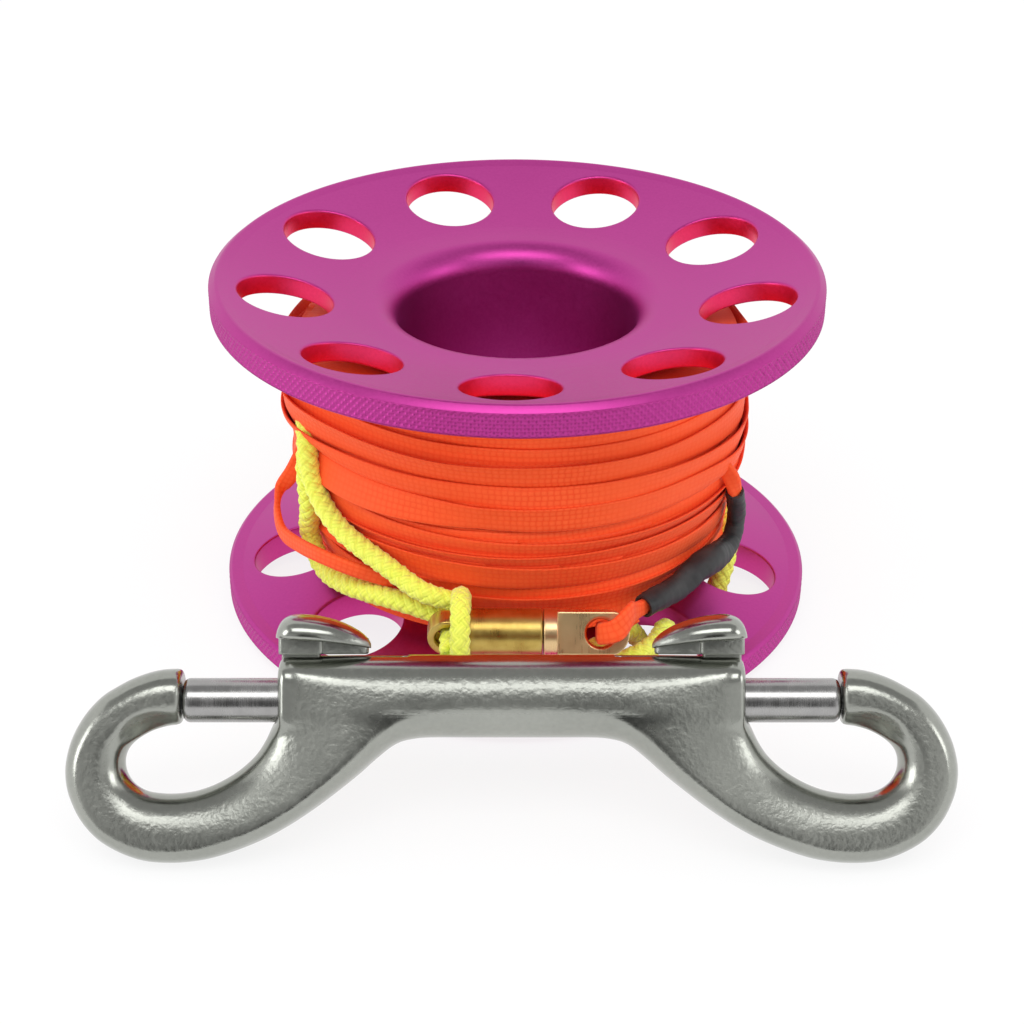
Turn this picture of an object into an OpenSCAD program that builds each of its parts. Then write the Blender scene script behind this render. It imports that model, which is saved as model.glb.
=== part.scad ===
// Finger spool with wound line, line swivel, wrist lanyard and double ended bolt snap.
// Origin on the spool's axis at the surface that it stands on, +Z up along the bore,
// +X to the right and the bolt snap standing in front, towards -Y. Millimetres.

/* [Spool] */
// Outer diameter of both flanges
flange_d = 80; // [76:1:90]
// Height of the spool over both rims
spool_h = 47.2; // [46:0.2:56]
// Height of the knurled rim
rim_t = 4.2; // [3.8:0.1:5]
// Chamfer on each edge of the rim
rim_chamfer = 0.5; // [0.3:0.1:0.8]
// Width of the flat land on the rim that the spool stands on
rim_land = 0.5; // [0.3:0.1:1]
// Height of a flange's web, measured along the spool's axis
web_t = 3.4; // [2.6:0.1:3.6]
// Slope of the dished flange, in degrees
dish_angle = 13; // [11:0.5:13]
// Diameter of the finger bore
bore_d = 32.4; // [28:0.2:34]
// Radius of the rounded mouth at each end of the finger bore
mouth_r = 3.4; // [2:0.2:4]
// Outer diameter of the hub that the line is wound on
hub_d = 37.4; // [37:0.2:40]

/* [Flange holes] */
// Diameter of each hole through a flange
hole_d = 12.5; // [10:0.5:13]
// Diameter of the circle that the holes lie on
hole_circle_d = 60.4; // [58:0.4:64]
// Number of holes in each flange
hole_count = 9; // [6:1:10]
// Turn of the upper flange's holes from the front
upper_turn = -1.5; // [-4:0.5:4]
// Turn of the lower flange's holes from the front
lower_turn = -3.6; // [-4:0.2:-3]

/* [Hub joint] */
// Length of the spigot that joins the two halves of the hub
spigot_len = 6; // [4:0.5:8]
// Wall of the spigot
spigot_wall = 1.2; // [1:0.1:1.4]
// Radial gap that the thread lock fills in the hub joint
spigot_gap = 0.03; // [0.02:0.01:0.05]

/* [Wound line] */
// Largest radius of the wound line
pack_r = 30.4; // [29:0.2:31]
// Height at which the wound line is fullest
pack_full_z = 28; // [26:0.5:30]
// How far the wound line draws in towards its lower end
pack_low_taper = 3.2; // [2:0.2:4]
// How far the wound line draws in towards its upper end
pack_high_taper = 1; // [0.6:0.2:2]
// Gap between the wound line and the flanges, at the hub
pack_end_gap = 0.1; // [0.05:0.05:0.3]
// Width of the flat line
line_w = 2.4; // [2:0.1:2.4]
// Thickness of the flat line
line_t = 0.9; // [0.6:0.1:1]
// Space between neighbouring turns of the outer layer
turn_space = 0.5; // [0.5:0.1:1]
// Gap between the outer layer of turns and the turns under it
layer_gap = 0.3; // [0.2:0.05:0.4]

/* [Lanyard and sleeve] */
// Diameter of the braided lanyard
lanyard_d = 2.9; // [2.5:0.1:2.9]
// Wall of the heat shrink sleeve over the line's end
sleeve_wall = 0.4; // [0.3:0.05:0.4]

/* [Swivel] */
// Outer diameter of the brass swivel
swivel_d = 6; // [5.6:0.1:6]
// Length of the swivel over both eyes
swivel_len = 25.1; // [24:0.1:25.1]
// Length of the rotating eye that shows outside the barrel
eye_len = 10.7; // [10:0.1:11.5]
// Length of the round collar on the rotating eye
collar_len = 1.8; // [1.4:0.1:2.4]
// Length of the flat tongue at the barrel's fixed eye
fixed_tongue_len = 4.6; // [4:0.1:5]
// Thickness of both flat tongues
tongue_t = 2.6; // [2:0.1:3]
// Diameter of the holes in both eyes
eye_hole_d = 3.5; // [3.4:0.1:3.6]
// Distance from the rotating eye's tip to the centre of its hole
eye_hole_inset = 3.6; // [3:0.1:4]
// Distance from the fixed eye's tip to the centre of its hole
fixed_hole_inset = 2.8; // [2.6:0.1:3.2]
// Diameter of the stem that the eye turns on
stem_d = 2.8; // [2.4:0.1:3]
// Diameter of the riveted head on the stem
stem_head_d = 3.9; // [3.7:0.1:4.1]
// Length of the bush that the stem runs in
bush_len = 4; // [3:0.5:5]
// Outer diameter of the bush
bush_d = 4.4; // [4.3:0.1:4.6]
// Radial running gap of the stem in its bush
stem_gap = 0.05; // [0.03:0.01:0.08]
// Gap along the axis between the eye's collar and the barrel
collar_gap = 0.12; // [0.1:0.02:0.2]

/* [Bolt snap] */
// Length of the bolt snap over both hooks
snap_len = 102.8; // [100:0.2:112]
// Diameter of the barrel between the hooks
bar_d = 9.6; // [9.2:0.1:10.4]
// Length of the barrel between its two end faces
bar_len = 53.8; // [52:0.2:54.4]
// Rounding of the barrel's end faces
bar_edge_r = 0.9; // [0.5:0.1:1.2]
// Radius of a hook's centre line
hook_r = 7.7; // [7:0.1:8]
// Thickness of a hook at its outer bend
hook_t = 6.9; // [6.4:0.1:7]
// Thickness of a hook at its lowest point
hook_foot_t = 7.4; // [7:0.1:7.8]
// Thickness of a hook's nose
nose_t = 6.3; // [5.8:0.1:6.4]
// How far a hook's nose runs straight past its bend
nose_run = 2.4; // [2:0.1:2.8]
// How far the snap leans back towards the spool, in degrees
lean = 30; // [26:1:34]
// Distance from the spool's axis to the lowest points of the hooks
snap_front = 61; // [58:0.5:64]
// Sideways place of the snap's middle
snap_x = -0.5; // [-2:0.5:2]

/* [Gates] */
// Diameter of a gate bolt
gate_d = 5.1; // [4.6:0.1:5.2]
// Length of a gate bolt
gate_len = 19; // [18:0.2:20]
// Travel of a gate from shut to open
gate_travel = 9.4; // [8:0.2:9.4]
// Radial running gap of a gate bolt in its bore
gate_gap = 0.06; // [0.04:0.01:0.08]
// Gap between a shut gate's tip and the hook's nose
nose_gap = 0.15; // [0.1:0.05:0.3]
// Rounding of a gate's tip
tip_r = 0.8; // [0.5:0.1:1]
// Wall between the two spring chambers
chamber_wall = 4; // [3:0.5:5]
// Length of a thumb knob's neck, along the slot
neck_len = 5.1; // [4.5:0.1:5.2]
// Width of a thumb knob's neck, across the slot
neck_w = 3.2; // [2.8:0.1:3.4]
// Gap on each side of the neck in its slot
slot_gap = 0.12; // [0.1:0.02:0.2]
// Height of a thumb knob's cap over the barrel's axis
knob_top = 9.4; // [9.2:0.1:10]
// Length of a thumb knob's cap
knob_len = 10.8; // [10:0.2:12]
// Width of a thumb knob's cap
knob_w = 7.8; // [7:0.2:9]
// Diameter of the stud that fixes a knob in its gate bolt
stud_d = 2.6; // [2.2:0.1:2.8]

/* [Springs] */
// Diameter of the spring wire
wire_d = 0.6; // [0.5:0.05:0.7]
// Outer diameter of a gate spring
spring_d = 4.4; // [4:0.1:4.6]
// Number of turns in a gate spring
spring_turns = 8; // [6:1:9]

/* [Hidden] */

anodised = "mediumvioletred";
line_colour = "orangered";
cord_colour = "greenyellow";
steel = "silver";
brass = "goldenrod";

round_fn = 96;
small_fn = 48;
ball_fn = 32;
eps = 0.01;

// Spool. Each half is drawn as the lower one, with its rim on the floor.
flange_r = flange_d / 2;
half_h = spool_h / 2;
hub_r = hub_d / 2;
bore_r = bore_d / 2;
spigot_r = bore_r + spigot_wall;
dish_slope = tan(dish_angle);
edge_r = flange_r - rim_chamfer;
dish_r = edge_r - rim_land;
inner_bevel_w = 1.5;
web_rim_r = edge_r - inner_bevel_w;
hub_fillet = 1;

// Height of the dished outer face, and of the web's inner face, at a radius.
function dish_z(r) = (dish_r - r) * dish_slope;
function web_z(r) = dish_z(r) + web_t;

// Centre of the circle that rounds the bore's mouth, and where it meets the dished face.
mouth_centre = [bore_r + mouth_r, dish_z(bore_r + mouth_r) + mouth_r / cos(dish_angle)];
mouth_edge = mouth_centre - mouth_r * [sin(dish_angle), cos(dish_angle)];

// Wound line. Its ends lie close to the webs where these meet the hub.
pack_low_z = web_z(hub_r) + pack_end_gap;
pack_high_z = spool_h - pack_low_z;
function pack_radius(z) = z < pack_full_z
    ? pack_r - pack_low_taper * pow((pack_full_z - z) / (pack_full_z - pack_low_z), 2)
    : pack_r - pack_high_taper * pow((z - pack_full_z) / (pack_high_z - pack_full_z), 2);
core_places = 12;
turn_rings = 24;
turn_start = 150;
ring_sag = pack_r * (1 - cos(180 / turn_rings));
core_depth = line_t + ring_sag + layer_gap;
turn_low_z = pack_low_z + line_w / 2 + layer_gap;
turn_high_z = pack_high_z - line_w / 2 - layer_gap;
turn_count = floor((turn_high_z - turn_low_z) / (line_w + turn_space));
turn_pitch = (turn_high_z - turn_low_z) / turn_count;

// Swivel, lying across the front of the wound line.
swivel_x = -11;
swivel_y = -pack_r - 3.4;
swivel_z = 12.7;
swivel_r = swivel_d / 2;
fixed_tilt = 10;
eye_tilt = -30;
collar_x = swivel_len - eye_len;
barrel_end_x = collar_x - collar_gap;
bush_recess = 0.2;
bush_x = barrel_end_x - bush_recess - bush_len;
head_t = 1;
head_gap = 0.1;
chamber_x = bush_x - head_t - 4 * head_gap;
push_gap = 0.01;
mill_depth = 0.05;
tongue_lap = 0.5;

// Hand placed cord routes. Each place is x, y, z and the cord's radius there. They are
// placed round a wound line of this radius, and move with it above this height.
drawn_pack_r = 30.4;
free_z = 4.5;
lanyard_r = lanyard_d / 2;
pressed_r = 0.95;
cord_sides = 8;
lanyard_steps = 2;
lanyard_points = [
    [-7.5, -30.7, 15.2, 1.3], [-11.6, -30.1, 16.2, lanyard_r], [-15.3, -27.6, 17.6, lanyard_r],
    [-22.5, -22.4, 20.9, lanyard_r], [-26.5, -18.3, 25, lanyard_r], [-27.3, -17, 30.4, lanyard_r],
    [-27.3, -11.5, 34.2, lanyard_r], [-28.2, -1, 34.8, lanyard_r], [-26, 11.5, 33.4, lanyard_r],
    [-19.6, 25.4, 29.6, lanyard_r], [-5, 32.1, 25, lanyard_r], [11, 30.1, 19.6, lanyard_r],
    [24, 19.3, 14.2, lanyard_r], [29.2, 8, 11.7, lanyard_r], [30.1, 0, 10.9, lanyard_r],
    [30.2, -6.4, 8.4, lanyard_r], [28.2, -9.4, 4, 1.3], [27.4, -11.4, 1.3, pressed_r],
    [23.6, -16.8, 1, pressed_r], [21.4, -19.8, 1.2, pressed_r], [20, -21.9, 3.9, 1.3],
    [19.3, -24.6, 7.3, lanyard_r], [17.9, -28.2, 7.5, lanyard_r], [15.2, -31.2, 7.5, lanyard_r],
    [11.6, -32.4, 7.3, lanyard_r], [9.7, -30.2, 7.3, lanyard_r], [11.6, -27.9, 7.4, lanyard_r],
    [14.5, -25.1, 7.3, lanyard_r], [16.2, -22.3, 4, 1.3], [17.5, -20, 1.3, pressed_r],
    [22.1, -14.5, 1, pressed_r], [26.1, -8.7, 1.3, pressed_r], [28.1, -5.4, 3.8, 1.3],
    [29.2, -2.4, 6.8, lanyard_r], [29.9, 2.5, 7.3, lanyard_r], [28.3, 10.4, 8.1, lanyard_r],
    [23.6, 19.6, 10.5, lanyard_r], [11, 30.1, 15.8, lanyard_r], [-5, 32.1, 21.4, lanyard_r],
    [-19.6, 25.4, 26, lanyard_r], [-26, 11.5, 29.8, lanyard_r], [-28.2, -1, 31.2, lanyard_r],
    [-27.9, -10.5, 30.4, lanyard_r], [-28.3, -14.6, 25.2, lanyard_r], [-27.6, -15.5, 20, lanyard_r],
    [-27.9, -13.2, 14.8, lanyard_r], [-25.5, -16.2, 11.2, lanyard_r], [-21.5, -21.6, 11.7, lanyard_r],
    [-13.9, -27.5, 12.9, lanyard_r], [-7.5, -30.1, 11.9, 1.3]
];
hitch_x = 4.15;
hitch_cord_r = 1.35;
hitch_gap = 0.1;
hitch_r = swivel_r + hitch_gap + hitch_cord_r;
plug_r = 1.6;
plug_front = 4.4;
plug_back = 3.2;

// Slack bight of line that stands off the left of the wound line.
slack_r = 1.1;
slack_thin = 0.42;
slack_steps = 2;
slack_points = [
    [-27.5, -11.2, 26.6, slack_r], [-29.3, -10.9, 22.8, slack_r], [-31.2, -10.6, 19.6, slack_r],
    [-31.7, -11.2, 16.8, slack_r], [-30.8, -13.6, 15, slack_r], [-28.4, -17.7, 15.6, slack_r],
    [-24.9, -22.3, 16.6, slack_r], [-20.6, -24.5, 16, slack_r], [-15.5, -24.8, 14.5, slack_r]
];

// The line's end: off the pack, through the sleeve, round through the swivel's eye.
end_r = 0.85;
knot_r = 1.5;
end_steps = 2;
sleeve_clear = 0.12;
sleeve_points = [
    [28.5, -13.8, 21.7, end_r], [28.9, -12.4, 19.5, end_r], [29.3, -10.3, 15.5, end_r],
    [28.9, -11.3, 13.3, end_r], [27.6, -14, 13, end_r], [25.4, -18.3, 14, knot_r],
    [23, -20.9, 13.6, end_r], [20.6, -23.2, 12.7, end_r], [16.2, -27.3, 12.4, end_r]
];
end_lead = [[25.4, -15.4, 28, end_r], [27.6, -14.9, 24.6, end_r]];
end_eye = [
    [14.6, -30.6, 13.6, end_r], [14.2, -34.4, 16, end_r], [12.4, -37.2, 15.4, end_r],
    [10.5, -36.2, 14.1, end_r], [10.5, -33.8, 12.7, end_r], [10.5, -31.4, 11.3, end_r],
    [12.6, -29.6, 11, end_r], [15.2, -28.6, 12, end_r]
];

// Bolt snap, drawn upright and leaned back about its barrel's axis.
bar_r = bar_d / 2;
bar_end = bar_len / 2;
hook_drop = 2 * hook_r;
bar_y = hook_drop * sin(lean) - snap_front;
bar_z = hook_drop * cos(lean) + hook_foot_t / 2;
bend_x = snap_len / 2 - hook_t / 2 - hook_r;
bend_arcs = 4;
bend_from = 90;
bend_to = 278;
nose_x = bend_x - nose_run;
nose_edge_r = 0.6;
bend_lap = 0.05;
arc_lap = 0.2;
gate_r = gate_d / 2;
gate_bore_r = gate_r + gate_gap;
tip_x = nose_x - nose_gap;
gate_back_x = tip_x - gate_len;
seat_depth = 0.45;
neck_inset = 0.2;
neck_x = bar_end - neck_inset - neck_len;
slot_end_x = neck_x - gate_travel - 2 * slot_gap;
stud_x = bar_end - neck_inset - neck_len / 2;
stud_foot = 1.6;
cap_base = 5.5;

// ---------------------------------------------------------------- helpers

function unit(v) = v / norm(v);
function xyz(p) = [p[0], p[1], p[2]];

// A cord's place, moved out or in with the wound line, unless it is down in the flange.
function carried(q) =
    let (
        share = min(max((q[2] - free_z) / (pack_low_z - free_z), 0), 1),
        k = 1 + share * (pack_r - drawn_pack_r) / norm([q[0], q[1]])
    )
    [q[0] * k, q[1] * k, q[2], q[3]];

// A smooth curve through hand placed points, with steps places from each point to the next.
function curve_place(a, b, c, d, t) =
    (2 * b + (c - a) * t + (2 * a - 5 * b + 4 * c - d) * t * t + (3 * b - a - 3 * c + d) * t * t * t) / 2;
function smooth_route(p, steps) = smooth_places([for (q = p) carried(q)], steps);
function smooth_places(p, steps) = [
    for (i = [0 : len(p) - 2])
        for (s = [0 : steps - 1])
            curve_place(p[max(i - 1, 0)], p[i], p[i + 1], p[min(i + 2, len(p) - 1)], s / steps),
    p[len(p) - 1]
];

// Direction of travel at each place of a route, and a side vector carried along it.
function headings(route) = [
    for (i = [0 : len(route) - 1])
        unit(xyz(route[min(i + 1, len(route) - 1)]) - xyz(route[max(i - 1, 0)]))
];
function square_to(side, heading) = unit(side - (side * heading) * heading);
function side_vectors(ways, first) = [
    for (i = 0, side = square_to(first, ways[0]);
         i < len(ways);
         i = i + 1, side = i < len(ways) ? square_to(side, ways[i]) : side) side
];

// A closed tube through rings of points that all have the same count.
module ringed_tube(rings) {
    sides = len(rings[0]);
    last = len(rings) - 1;
    points = [for (ring = rings) for (p = ring) p];
    walls = [
        for (i = [0 : last - 1])
            for (k = [0 : sides - 1])
                let (a = i * sides + k, b = i * sides + (k + 1) % sides)
                    for (face = [[a, b, b + sides], [a, b + sides, a + sides]]) face
    ];
    start_cap = [for (k = [1 : sides - 2]) [0, k + 1, k]];
    end_cap = [for (k = [1 : sides - 2]) [last * sides, last * sides + k, last * sides + k + 1]];
    polyhedron(points = points, faces = concat(walls, start_cap, end_cap), convexity = 10);
}

// A rod along a route of places, with the radius given at each; thin is its thickness to its width.
module cord(route, first_side, sides = cord_sides, thin = 1, extra = 0) {
    ways = headings(route);
    across = side_vectors(ways, first_side);
    ringed_tube([
        for (i = [0 : len(route) - 1])
            let (r = route[i][3] + extra, other = cross(ways[i], across[i]))
                [for (k = [0 : sides - 1])
                    let (a = -360 * (k + 0.5) / sides)
                        xyz(route[i]) + r * cos(a) * across[i] + r * thin * sin(a) * other]
    ]);
}

// A rod along +X from the origin, its two ends rounded by their own radii.
module round_rod(r, length, near_edge, far_edge) {
    rotate([0, 90, 0])
        rotate_extrude($fn = round_fn)
            difference() {
                square([r, length]);
                edge_cut(r, near_edge);
                translate([0, length])
                    mirror([0, 1])
                        edge_cut(r, far_edge);
            }
}

// What rounding a rod's end takes off its profile's corner.
module edge_cut(r, edge) {
    if (edge > 0)
        difference() {
            translate([r - edge, -eps])
                square([edge + eps, edge + eps]);
            translate([r - edge, edge])
                circle(edge, $fn = small_fn);
        }
}

// ---------------------------------------------------------------- spool

// Section of the rim, the dished web and the half hub, drawn from the floor up.
module half_section() {
    difference() {
        polygon([
            [bore_r, dish_z(bore_r)],
            [dish_r, 0],
            [edge_r, 0],
            [flange_r, rim_chamfer],
            [flange_r, rim_t - rim_chamfer],
            [edge_r, rim_t],
            [web_rim_r, web_z(web_rim_r)],
            [hub_r + hub_fillet, web_z(hub_r + hub_fillet)],
            [hub_r, web_z(hub_r) + hub_fillet],
            [hub_r, half_h],
            [bore_r, half_h]
        ]);
        mouth_cut();
    }
}

// What the rounding of the bore's mouth takes off the corner under it.
module mouth_cut() {
    low = dish_z(bore_r) - mouth_r;
    difference() {
        polygon([
            [bore_r - eps, mouth_centre[1]],
            [bore_r - eps, low],
            [mouth_edge[0], low],
            mouth_edge,
            mouth_centre
        ]);
        translate(mouth_centre)
            circle(mouth_r, $fn = round_fn);
    }
}

module flange_holes(turn) {
    for (k = [0 : hole_count - 1])
        rotate([0, 0, turn - 90 + k * 360 / hole_count])
            translate([hole_circle_d / 2, 0, -eps])
                cylinder(h = web_z(hub_r) + 2 * eps, d = hole_d, $fn = small_fn);
}

module lower_flange() {
    color(anodised)
        difference() {
            rotate_extrude($fn = round_fn)
                difference() {
                    half_section();
                    translate([bore_r - eps, half_h - spigot_len - spigot_gap])
                        square([spigot_wall + spigot_gap + eps, spigot_len + 1]);
                }
            flange_holes(lower_turn);
        }
}

module upper_flange() {
    color(anodised)
        translate([0, 0, spool_h])
            mirror([0, 0, 1])
                difference() {
                    rotate_extrude($fn = round_fn)
                        union() {
                            half_section();
                            translate([bore_r, half_h - eps])
                                square([spigot_wall, spigot_len + eps]);
                        }
                    flange_holes(upper_turn);
                }
}

// ---------------------------------------------------------------- line

// The inner layers of line, as one body round the hub.
module line_core() {
    clear = hub_fillet + layer_gap;
    color(line_colour)
        rotate_extrude($fn = round_fn)
            polygon(concat(
                [[hub_r, pack_high_z - clear], [hub_r, pack_low_z + clear], [hub_r + clear, pack_low_z]],
                [for (i = [0 : core_places])
                    let (z = pack_low_z + (pack_high_z - pack_low_z) * i / core_places)
                        [pack_radius(z) - core_depth, z]],
                [[hub_r + clear, pack_high_z]]
            ));
}

// Section of the flat line, as offsets outwards and upwards from its middle.
line_section = [
    [0, -line_w / 2], [line_t / 2, -line_w / 3], [line_t / 2, line_w / 3],
    [0, line_w / 2], [-line_t / 2, line_w / 3], [-line_t / 2, -line_w / 3]
];
function winding_ring(i) =
    let (
        turns = i / turn_rings,
        z = turn_low_z + turns * turn_pitch,
        r = pack_radius(z) - line_t / 2,
        a = turn_start + 360 * turns
    )
    [for (p = line_section) [(r + p[0]) * cos(a), (r + p[0]) * sin(a), z + p[1]]];

// Least distance between the points of one turn and those of the next.
function winding_gap(rings) = min([
    for (i = [0 : len(rings) - 1 - turn_rings])
        for (p = rings[i])
            for (q = rings[i + turn_rings])
                norm(p - q)
]);

module line_winding() {
    rings = [for (i = [0 : turn_count * turn_rings]) winding_ring(i)];
    echo(turns = turn_count, least_gap_between_turns = winding_gap(rings));
    color(line_colour)
        ringed_tube(rings);
}

module line_slack_loop() {
    color(line_colour)
        cord(smooth_route(slack_points, slack_steps), [0, 0, 1], thin = slack_thin);
}

module line_end_loop() {
    color(line_colour)
        cord(smooth_route(concat(end_lead, sleeve_points, end_eye), end_steps), [0, 0, 1]);
}

module heat_shrink_sleeve() {
    whole = smooth_route(concat(end_lead, sleeve_points, end_eye), end_steps);
    first = len(end_lead) * end_steps;
    route = [for (i = [0 : (len(sleeve_points) - 1) * end_steps]) whole[first + i]];
    inside = concat(
        [concat(xyz(route[0]) - unit(xyz(route[1]) - xyz(route[0])), [end_r])],
        route,
        [concat(xyz(route[len(route) - 1])
            + unit(xyz(route[len(route) - 1]) - xyz(route[len(route) - 2])), [end_r])]
    );
    color("dimgray")
        difference() {
            cord(route, [0, 0, 1], extra = sleeve_clear + sleeve_wall);
            cord(inside, [0, 0, 1], extra = sleeve_clear);
        }
}

// ---------------------------------------------------------------- swivel and lanyard

module swivel_place() {
    translate([swivel_x, swivel_y, swivel_z])
        children();
}

// A flat tongue with a round tip at x = 0, milled from the swivel's round rod.
module tongue(length, tilt, hole_inset) {
    r = swivel_r - mill_depth;
    rotate([tilt, 0, 0])
        difference() {
            intersection() {
                rotate([0, 90, 0])
                    cylinder(h = length, r = r, $fn = small_fn);
                rotate([90, 0, 0])
                    linear_extrude(tongue_t, center = true)
                        union() {
                            translate([r, 0])
                                circle(r, $fn = small_fn);
                            translate([r, -swivel_r])
                                square([length, swivel_d]);
                        }
            }
            translate([hole_inset, 0, 0])
                rotate([90, 0, 0])
                    cylinder(h = 2 * swivel_d, d = eye_hole_d, center = true, $fn = small_fn);
        }
}

module swivel_barrel() {
    color(brass)
        swivel_place()
            difference() {
                union() {
                    tongue(fixed_tongue_len + tongue_lap, fixed_tilt, fixed_hole_inset);
                    translate([fixed_tongue_len, 0, 0])
                        round_rod(swivel_r, barrel_end_x - fixed_tongue_len, 0.3, 0.1);
                }
                translate([chamber_x, 0, 0])
                    rotate([0, 90, 0])
                        cylinder(h = swivel_len, d = bush_d + 2 * push_gap, $fn = small_fn);
            }
}

module swivel_bush() {
    color(brass)
        swivel_place()
            translate([bush_x, 0, 0])
                rotate([0, 90, 0])
                    difference() {
                        cylinder(h = bush_len, d = bush_d, $fn = small_fn);
                        translate([0, 0, -1])
                            cylinder(h = bush_len + 2, d = stem_d + 2 * stem_gap, $fn = small_fn);
                    }
}

// The rotating eye, with its stem through the bush and the riveted head behind it.
module swivel_eye() {
    head_x = bush_x - head_gap - head_t;
    color(brass)
        swivel_place()
            union() {
                translate([collar_x, 0, 0])
                    round_rod(swivel_r, collar_len, 0.1, 0);
                translate([swivel_len, 0, 0])
                    mirror([1, 0, 0])
                        tongue(eye_len - collar_len + tongue_lap, eye_tilt, eye_hole_inset);
                translate([head_x, 0, 0])
                    rotate([0, 90, 0])
                        cylinder(h = collar_x - head_x + eps, d = stem_d, $fn = small_fn);
                translate([head_x, 0, 0])
                    rotate([0, 90, 0])
                        cylinder(h = head_t, d = stem_head_d, $fn = small_fn);
            }
}

// The lanyard: two strands round the pack, hitched through the swivel's fixed eye.
module lanyard_cord() {
    color(cord_colour)
        union() {
            cord(smooth_route(lanyard_points, lanyard_steps), [0, 0, 1]);
            swivel_place() {
                translate([hitch_x, 0, 0])
                    rotate([0, 90, 0])
                        rotate_extrude($fn = small_fn)
                            translate([hitch_r, 0])
                                circle(hitch_cord_r, $fn = ball_fn);
                translate([fixed_hole_inset, 0, 0])
                    rotate([90 + fixed_tilt, 0, 0])
                        translate([0, 0, -plug_back])
                            cylinder(h = plug_front + plug_back, r = plug_r, $fn = small_fn);
            }
        }
}

// ---------------------------------------------------------------- bolt snap

module snap_place() {
    translate([snap_x, bar_y, bar_z])
        rotate([-lean, 0, 0])
            children();
}

// The right hook: nose, round bend in arcs that thicken towards the foot, flank and web.
bend_step = (bend_to - bend_from) / bend_arcs;
foot_x = bend_x - hook_r * cos(bend_to);
foot_z = hook_r * (sin(bend_to) - 1);
foot_r = hook_foot_t / 2;
heel = [foot_x - 6.2, 0, foot_z + 1.1, foot_r + 0.15];
shoulder = [bar_end - 6.9, 0, -6.2, bar_r - 0.6];
waist = [(heel[0] + shoulder[0]) / 2, 0, (heel[2] + shoulder[2]) / 2 - 0.5, bar_r - 0.7];
flank_root = [bar_end - 13.4, 0, -0.8, bar_r - 0.3];
lip = [bar_end - 2.6, 0, -3.8, bar_r - 1.8];
foot_lap = 0.5;
flank_steps = 4;
flank_sides = 24;
module hook() {
    translate([nose_x, 0, 0])
        round_rod(nose_t / 2, nose_run + bend_lap, nose_edge_r, 0);
    translate([bend_x, 0, -hook_r])
        rotate([90, 0, 0])
            mirror([1, 0, 0])
                for (i = [0 : bend_arcs - 1])
                    rotate([0, 0, bend_from + i * bend_step])
                        rotate_extrude(angle = bend_step + arc_lap, $fn = round_fn)
                            translate([hook_r, 0])
                                circle((nose_t + (hook_foot_t - nose_t) * (i + 0.5) / bend_arcs) / 2,
                                    $fn = small_fn);
    cord(smooth_places([[foot_x + foot_lap, 0, foot_z, foot_r - eps], heel, waist, shoulder, flank_root],
        flank_steps), [0, 1, 0], flank_sides);
    hull()
        for (place = [waist - [0, 0, 0, 0.4], lip])
            translate(xyz(place))
                sphere(place[3], $fn = ball_fn);
}

// What one gate needs cut out of the body: its bore and the slot for the knob's neck.
module gate_cut() {
    translate([chamber_wall / 2, 0, 0])
        rotate([0, 90, 0])
            cylinder(h = nose_x - chamber_wall / 2 - nose_edge_r, r = gate_bore_r, $fn = small_fn);
    translate([slot_end_x, -neck_w / 2 - slot_gap, 0])
        cube([bar_end - slot_end_x + 1, neck_w + 2 * slot_gap, bar_r + 1]);
}

module snap_body() {
    color(steel)
        snap_place()
            difference() {
                union() {
                    translate([-bar_end, 0, 0])
                        round_rod(bar_r, bar_len, bar_edge_r, bar_edge_r);
                    hook();
                    mirror([1, 0, 0])
                        hook();
                }
                gate_cut();
                mirror([1, 0, 0])
                    gate_cut();
            }
}

module gate_bolt() {
    difference() {
        translate([gate_back_x, 0, 0])
            round_rod(gate_r, gate_len, 0.3, tip_r);
        translate([neck_x, -gate_r, gate_r - seat_depth])
            cube([neck_len, gate_d, 1]);
        translate([stud_x, 0, -stud_foot])
            cylinder(h = gate_d, d = stud_d + 2 * push_gap, $fn = small_fn);
    }
}

module thumb_knob() {
    big_r = (knob_top - cap_base) / 2;
    half_w = knob_w / 2;
    translate([neck_x, -neck_w / 2, gate_r - seat_depth])
        cube([neck_len, neck_w, cap_base + big_r - gate_r + seat_depth]);
    translate([stud_x, 0, -stud_foot])
        cylinder(h = gate_r + stud_foot, d = stud_d, $fn = small_fn);
    hull() {
        for (side = [-1, 1]) {
            translate([bar_end - big_r, side * (half_w - big_r), cap_base + big_r])
                sphere(big_r, $fn = ball_fn);
            translate([bar_end - 0.56 * knob_len, side * (half_w - 0.9 * big_r), cap_base + 0.85 * big_r])
                sphere(0.85 * big_r, $fn = ball_fn);
        }
        translate([bar_end - knob_len + 0.35 * big_r, 0, cap_base + 0.35 * big_r])
            sphere(0.35 * big_r, $fn = ball_fn);
    }
}

// A coil spring along +X between the chamber's wall and the gate bolt.
spring_ring_count = 8;
spring_sides = 6;
module gate_spring() {
    wire_r = wire_d / 2;
    coil_r = spring_d / 2 - wire_r;
    near = chamber_wall / 2 + wire_r + eps;
    run = gate_back_x - wire_r - eps - near;
    places = spring_turns * spring_ring_count;
    ringed_tube([
        for (i = [0 : places])
            let (a = 360 * i / spring_ring_count, x = near + run * i / places)
                [for (k = [0 : spring_sides - 1])
                    let (b = 360 * k / spring_sides, r = coil_r + wire_r * cos(b))
                        [x + wire_r * sin(b), r * cos(a), r * sin(a)]]
    ]);
}

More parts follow.
